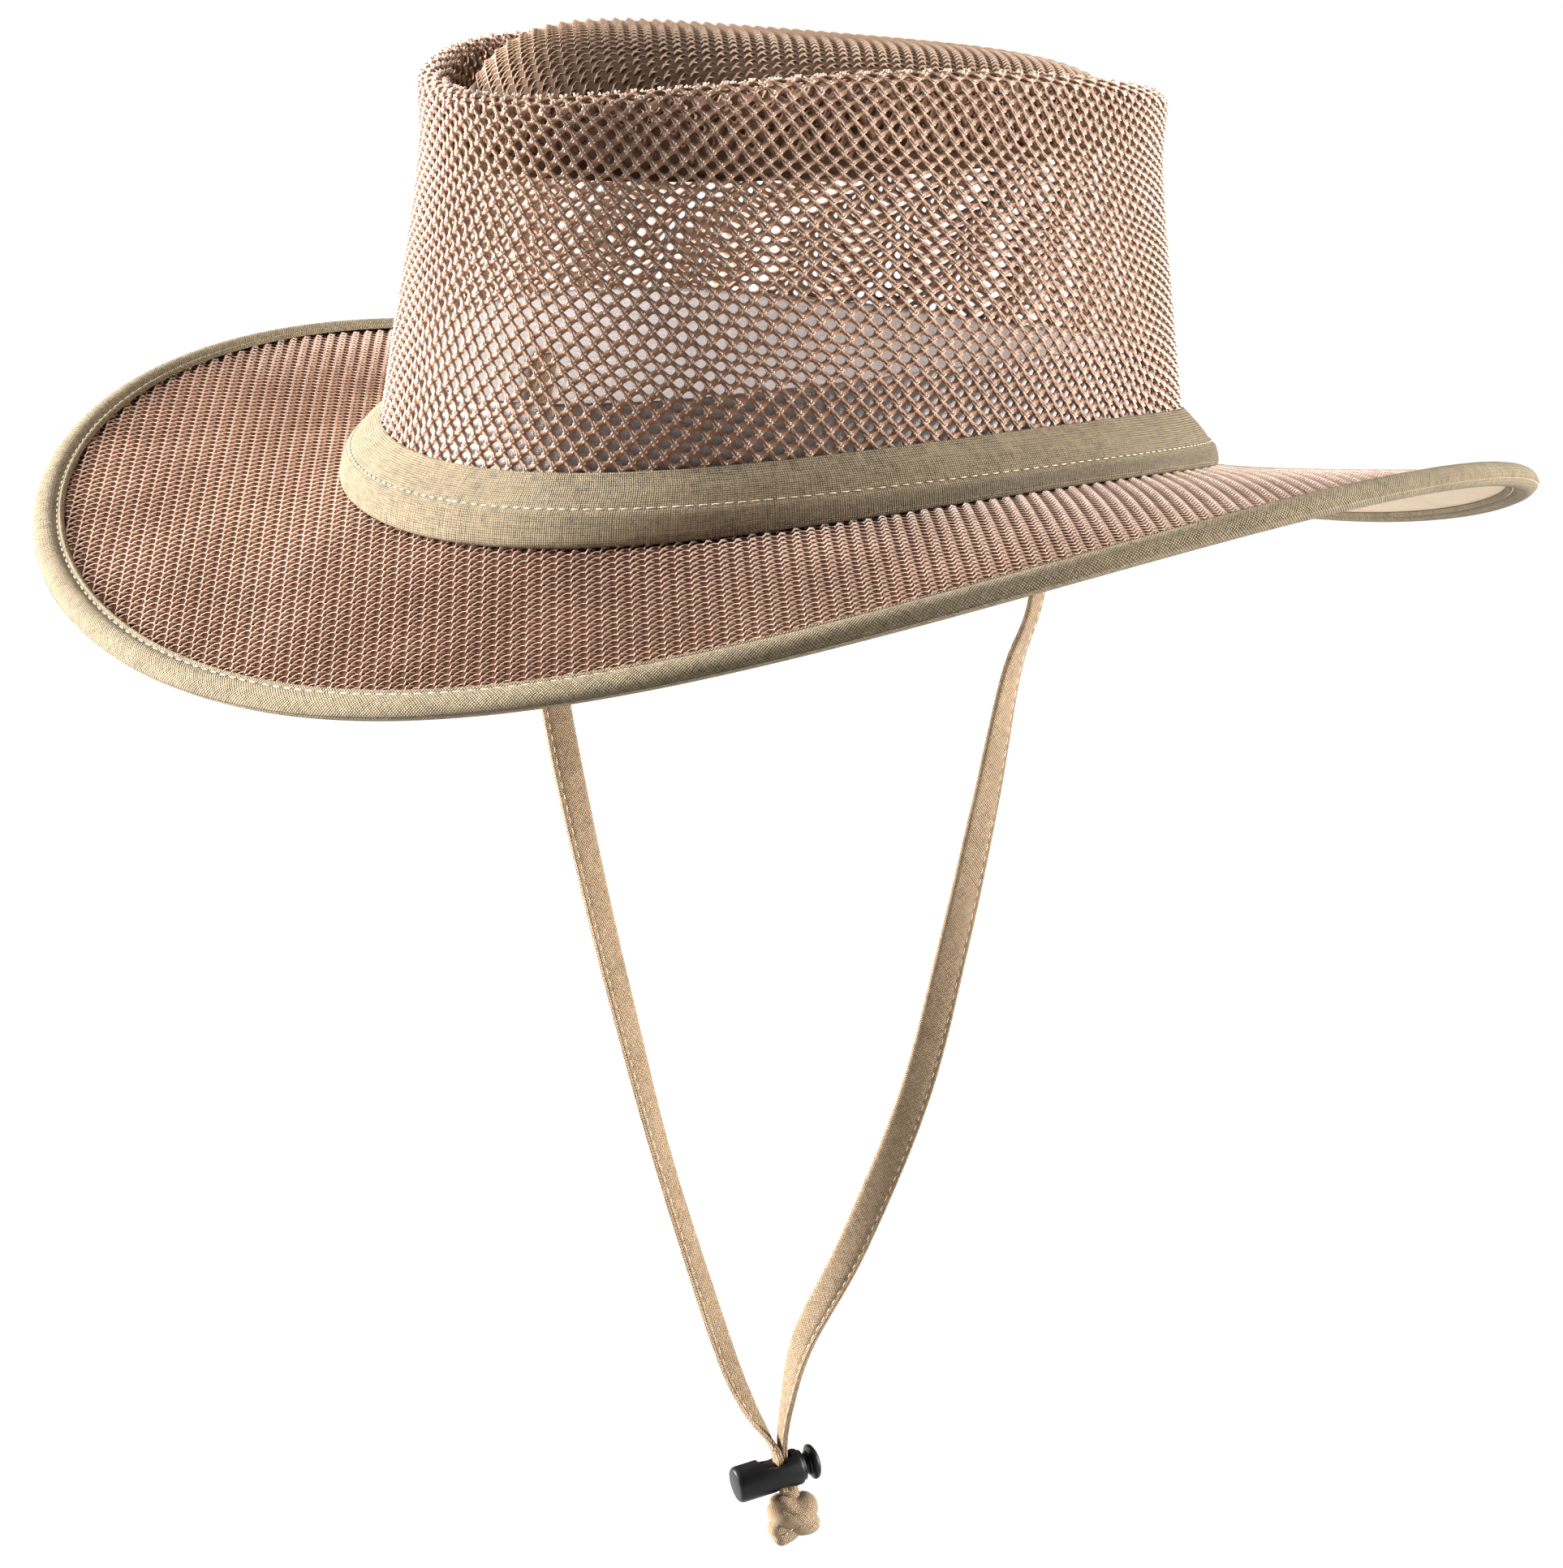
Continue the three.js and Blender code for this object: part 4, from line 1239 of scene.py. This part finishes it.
grid = rib_grid(RIB_ROWS, RIBS)
plan = to_plan(grid)
grid, plan = (values[np.hypot(*plan.T) < PLAN_REACH] for values in (grid, plan))
_, rib_out, rib_reach = brim_share(plan[:, 0], plan[:, 1])
on_brim = (rib_out > BAND_COVERS) & (rib_out < rib_reach - BINDING_COVERS)
on_brim &= np.hypot(*(plan / FOOT_HALF).T) > 1
for side, mask in (("near", grid[:, 1] < 0), ("far", grid[:, 1] >= 0)):
    ribs = tiled(f"brim_ribs_{side}", rib_points, rib_faces, grid[on_brim & mask], lay_on_brim)
    finish_piece(ribs, brim_yarn_look, "ribbed_mesh")

# %% [markdown]
# The top of the crown is a low dome inside the rolled rim, with a valley round it. Its ribs are
# laid by their distance from the middle measured over the dome, so they keep their size down its
# steep sides. Its yarn and its ground are coloured darker than the brim's: painted shade.

# %% Crown tip ground and its raised threads
TIP_THICK, TIP_MIDDLE, TIP_BACK_FALL = 1.8, 99.3, 0.104
TIP_SHARPNESS, TIP_ROUNDNESS = 5.0, 2.5
TIP_RINGS = (1, 0.985, 0.96, 0.92, 0.85, 0.7, 0.5, 0.25, 0.004)


def tip_height(y, share):
    top = TIP_MIDDLE - TIP_BACK_FALL * y
    return VALLEY_HEIGHT + (top - VALLEY_HEIGHT) * (1 - share**TIP_SHARPNESS) ** (1 / TIP_ROUNDNESS)


def tip_point(turn, share, lower=0.0):
    x, y = oval(RIM_HALF, turn, -VALLEY_INSET)
    x, y = x * share, y * share + RIM_BACK
    return stack(x, y, tip_height(y, share) - lower)


def tip_stops(turn):
    lip = rim_point(turn, -VALLEY_INSET + 2.8, 0)
    lip[..., 2] = VALLEY_HEIGHT
    below = lip - (0, 0, TIP_THICK)
    top = [tip_point(turn, share, 0.5) for share in TIP_RINGS[::-1]]
    under = [tip_point(turn, 0.97 * share, TIP_THICK) for share in TIP_RINGS]
    return top + [lip - (0, 0, 0.5), below] + under


def tip_lay(along, across):
    return through(tip_stops(FULL_TURN * along), across)


# The dome's ground is coloured as painted shade under its ribs.
tip_ground = laid_cloth("crown_tip_ground", tip_lay, along=120, across=50)
finish_piece(tip_ground, tip_ground_painted_shade_look, "ribbed_mesh", "crown_tip")

edge_turns = all_turns[:-1]
edge_x, edge_y = oval(RIM_HALF, edge_turns, -VALLEY_INSET)
edge_angle = np.unwrap(np.arctan2(edge_x, -edge_y))
edge_radius = np.hypot(edge_x, edge_y)
OVER_SHARES = np.linspace(0, 0.999, 70)
RIB_REACH = 4.2


def over_tip(points):
    """Flat places from the dome's middle, laid by their distance over it, and which are inside."""
    plan = to_plan(points)
    far = np.hypot(*plan.T)
    angle = np.arctan2(plan[:, 0], -plan[:, 1])
    half_turned = edge_angle - FULL_TURN * (edge_angle > math.pi)
    radius = np.interp(angle, half_turned, edge_radius, period=FULL_TURN)
    way = plan / np.maximum(far, 1e-6)[:, None]
    run = radius[:, None] * OVER_SHARES
    heights = tip_height(run * way[:, 1:] + RIM_BACK, OVER_SHARES[None])
    steps = np.hypot(np.diff(run, axis=1), np.diff(heights, axis=1))
    lengths = np.concatenate([np.zeros((len(far), 1)), np.cumsum(steps, axis=1)], axis=1)
    index = np.clip((lengths < far[:, None]).sum(axis=1), 1, len(OVER_SHARES) - 1)
    rows = np.arange(len(far))
    low, high = lengths[rows, index - 1], lengths[rows, index]
    part = (far - low) / (high - low)
    share = OVER_SHARES[index - 1] + part * (OVER_SHARES[index] - OVER_SHARES[index - 1])
    inside = far < lengths[:, -1] - RIB_REACH
    share = np.minimum(share, OVER_SHARES[-1])
    x, y = (radius * share)[:, None].T * way.T
    return stack(x, y + RIM_BACK, tip_height(y + RIM_BACK, share)), inside


def lay_on_tip(points):
    steps = ((0.4, 0, 0), (0, 0.4, 0))
    right, ahead = (over_tip(points + step)[0] - over_tip(points - step)[0] for step in steps)
    return over_tip(points)[0] + unit(np.cross(right, ahead)) * (points[:, 2:] - 0.5)


tip_grid = rib_grid(rows=60, ribs=110)
tip_grid = tip_grid[over_tip(np.column_stack([tip_grid, 0 * tip_grid[:, 0]]))[1]]
# The dome's ribs take the brim's yarn in darker colours, painted shade.
tip_ribs = tiled("crown_tip_ribs", rib_points, rib_faces, tip_grid, lay_on_tip)
finish_piece(tip_ribs, tip_yarn_painted_shade_look, "ribbed_mesh")

# %% [markdown]
# A strip of canvas is folded over the brim's edge and stitched through, with a plump fold outside
# and a row of pale stitches near its inner edge, above and below. The band round the crown's foot
# is the same cloth with a rolled lower edge.

# %% Brim binding, hat band and their stitches
BINDING_SECTION = [
    # inward from the edge, and lift
    (7.5, 1.5), (7.3, 2.15), (6.6, 2.3), (6.05, 1.6), (5.4, 2.2), (4.2, 2.75), (2.8, 2.75),
    (1.3, 2.15), (0.35, 1.15), (0.02, 0.3),
]
SLOT_SECTION = [(7.4, -1.3), (BINDING_SLOT_END, -1.25), (BINDING_SLOT_END, 1.25), (7.4, 1.3)]
BINDING_STITCH = (6.05, 1.75)
# The band's section: up from the foot and out from the wall, then out from the foot and up, then
# out over the brim and up, and back inside to the wall
BAND_TOP = [(11.2, GAP), (11.75, 0.8), (11.2, 1.5)]
BAND_FACE = [(3.1, 8.4), (4.9, 6.2), (6.15, 4.45), (7.5, 3.2)]
BAND_ROLL = [(8.1, 2.7), (8.0, 1.3), (6.8, 0.8)]
BAND_INSIDE, BAND_END = [(5.0, 2.2), (2.6, 5.7)], [(8.5, GAP)]
BAND_STITCH = (6.35, 4.5)


def binding_stops(turn):
    under = [(inward, -lift) for inward, lift in BINDING_SECTION[::-1]]
    return [brim_point(turn, *place) for place in BINDING_SECTION + under + SLOT_SECTION]


def on_brim_out(turn, out, lift):
    """A point over the brim, by its distance out from the brim's root."""
    whole = np.linalg.norm(brim_edge(turn) - brim_root(turn), axis=-1)
    return brim_point(turn, whole - out, lift)


def band_stops(turn):
    ways = (wall_above, foot_point, on_brim_out, foot_point, wall_above)
    parts = (BAND_TOP, BAND_FACE, BAND_ROLL, BAND_INSIDE, BAND_END)
    return [way(turn, *place) for way, places in zip(ways, parts) for place in places]


binding = wound_cloth("canvas_binding", binding_stops, stations=360, steps=40)
finish_piece(binding, bias_canvas_look, "canvas", "brim_binding")
band = wound_cloth("canvas_band", band_stops, stations=220, steps=36)
finish_piece(band, canvas_look, "canvas", "hat_band")

brim_up = brim_frame(all_turns)[2]
inward, lift = BINDING_STITCH
edge_seams = [(brim_point(all_turns, inward, way * lift), way * brim_up) for way in (1, -1)]
edge_stitches = sewn_row("edge_stitches", edge_seams, pitch=3.3, long=2.3, thick=0.5)
finish_piece(edge_stitches, stitch_look, "canvas")
band_line = foot_point(all_turns, *BAND_STITCH)
band_up = unit(foot_point(all_turns, BAND_STITCH[0] + 1, BAND_STITCH[1] + 0.9) - band_line)
band_seam = (band_line, band_up)
band_stitches = sewn_row("band_stitches", [band_seam], pitch=2.9, long=1.9, thick=0.4)
finish_piece(band_stitches, stitch_look, "canvas")

# %% [markdown]
# Inside, a soft cloth sweatband lines the foot of the crown. It is a plain folded strip with a
# rounded upper edge.

# %% Sweatband
SWEATBAND_THICK, SWEATBAND_HEIGHT = 1.2, 26.0


def sweatband_stops(turn):
    outside = -NET_THICK - GAP
    inside = outside - SWEATBAND_THICK
    low = -BRIM_ROOT_DROP - BRIM_THICK
    rises = (0, SWEATBAND_HEIGHT / 2, SWEATBAND_HEIGHT - 0.5)
    outer, inner = (
        [foot_point(turn, face, low)] + [wall_above(turn, rise, face) for rise in rises]
        for face in (outside, inside)
    )
    return outer + [wall_above(turn, SWEATBAND_HEIGHT, (outside + inside) / 2)] + inner[::-1]


sweatband = wound_cloth("cloth_sweatband", sweatband_stops, stations=160, steps=27)
finish_piece(sweatband, sweatband_look, "sweatband_cloth", "sweatband")

# %% [markdown]
# The dressed hat has to stay the size of the solids, so its box is written beside the first one.

# %% Write both boxes and count the triangles
low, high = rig.bounds()
with open("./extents.json", "w") as out:
    json.dump({"cad": [list(cad_low), list(cad_high)], "visual": [list(low), list(high)]}, out)
triangles = {
    piece.name: sum(len(face.vertices) - 2 for face in piece.data.polygons)
    for piece in bpy.context.scene.objects
    if piece.type == "MESH" and piece.name not in frame["nodes"]
}
print("added triangles", sum(triangles.values()), triangles)
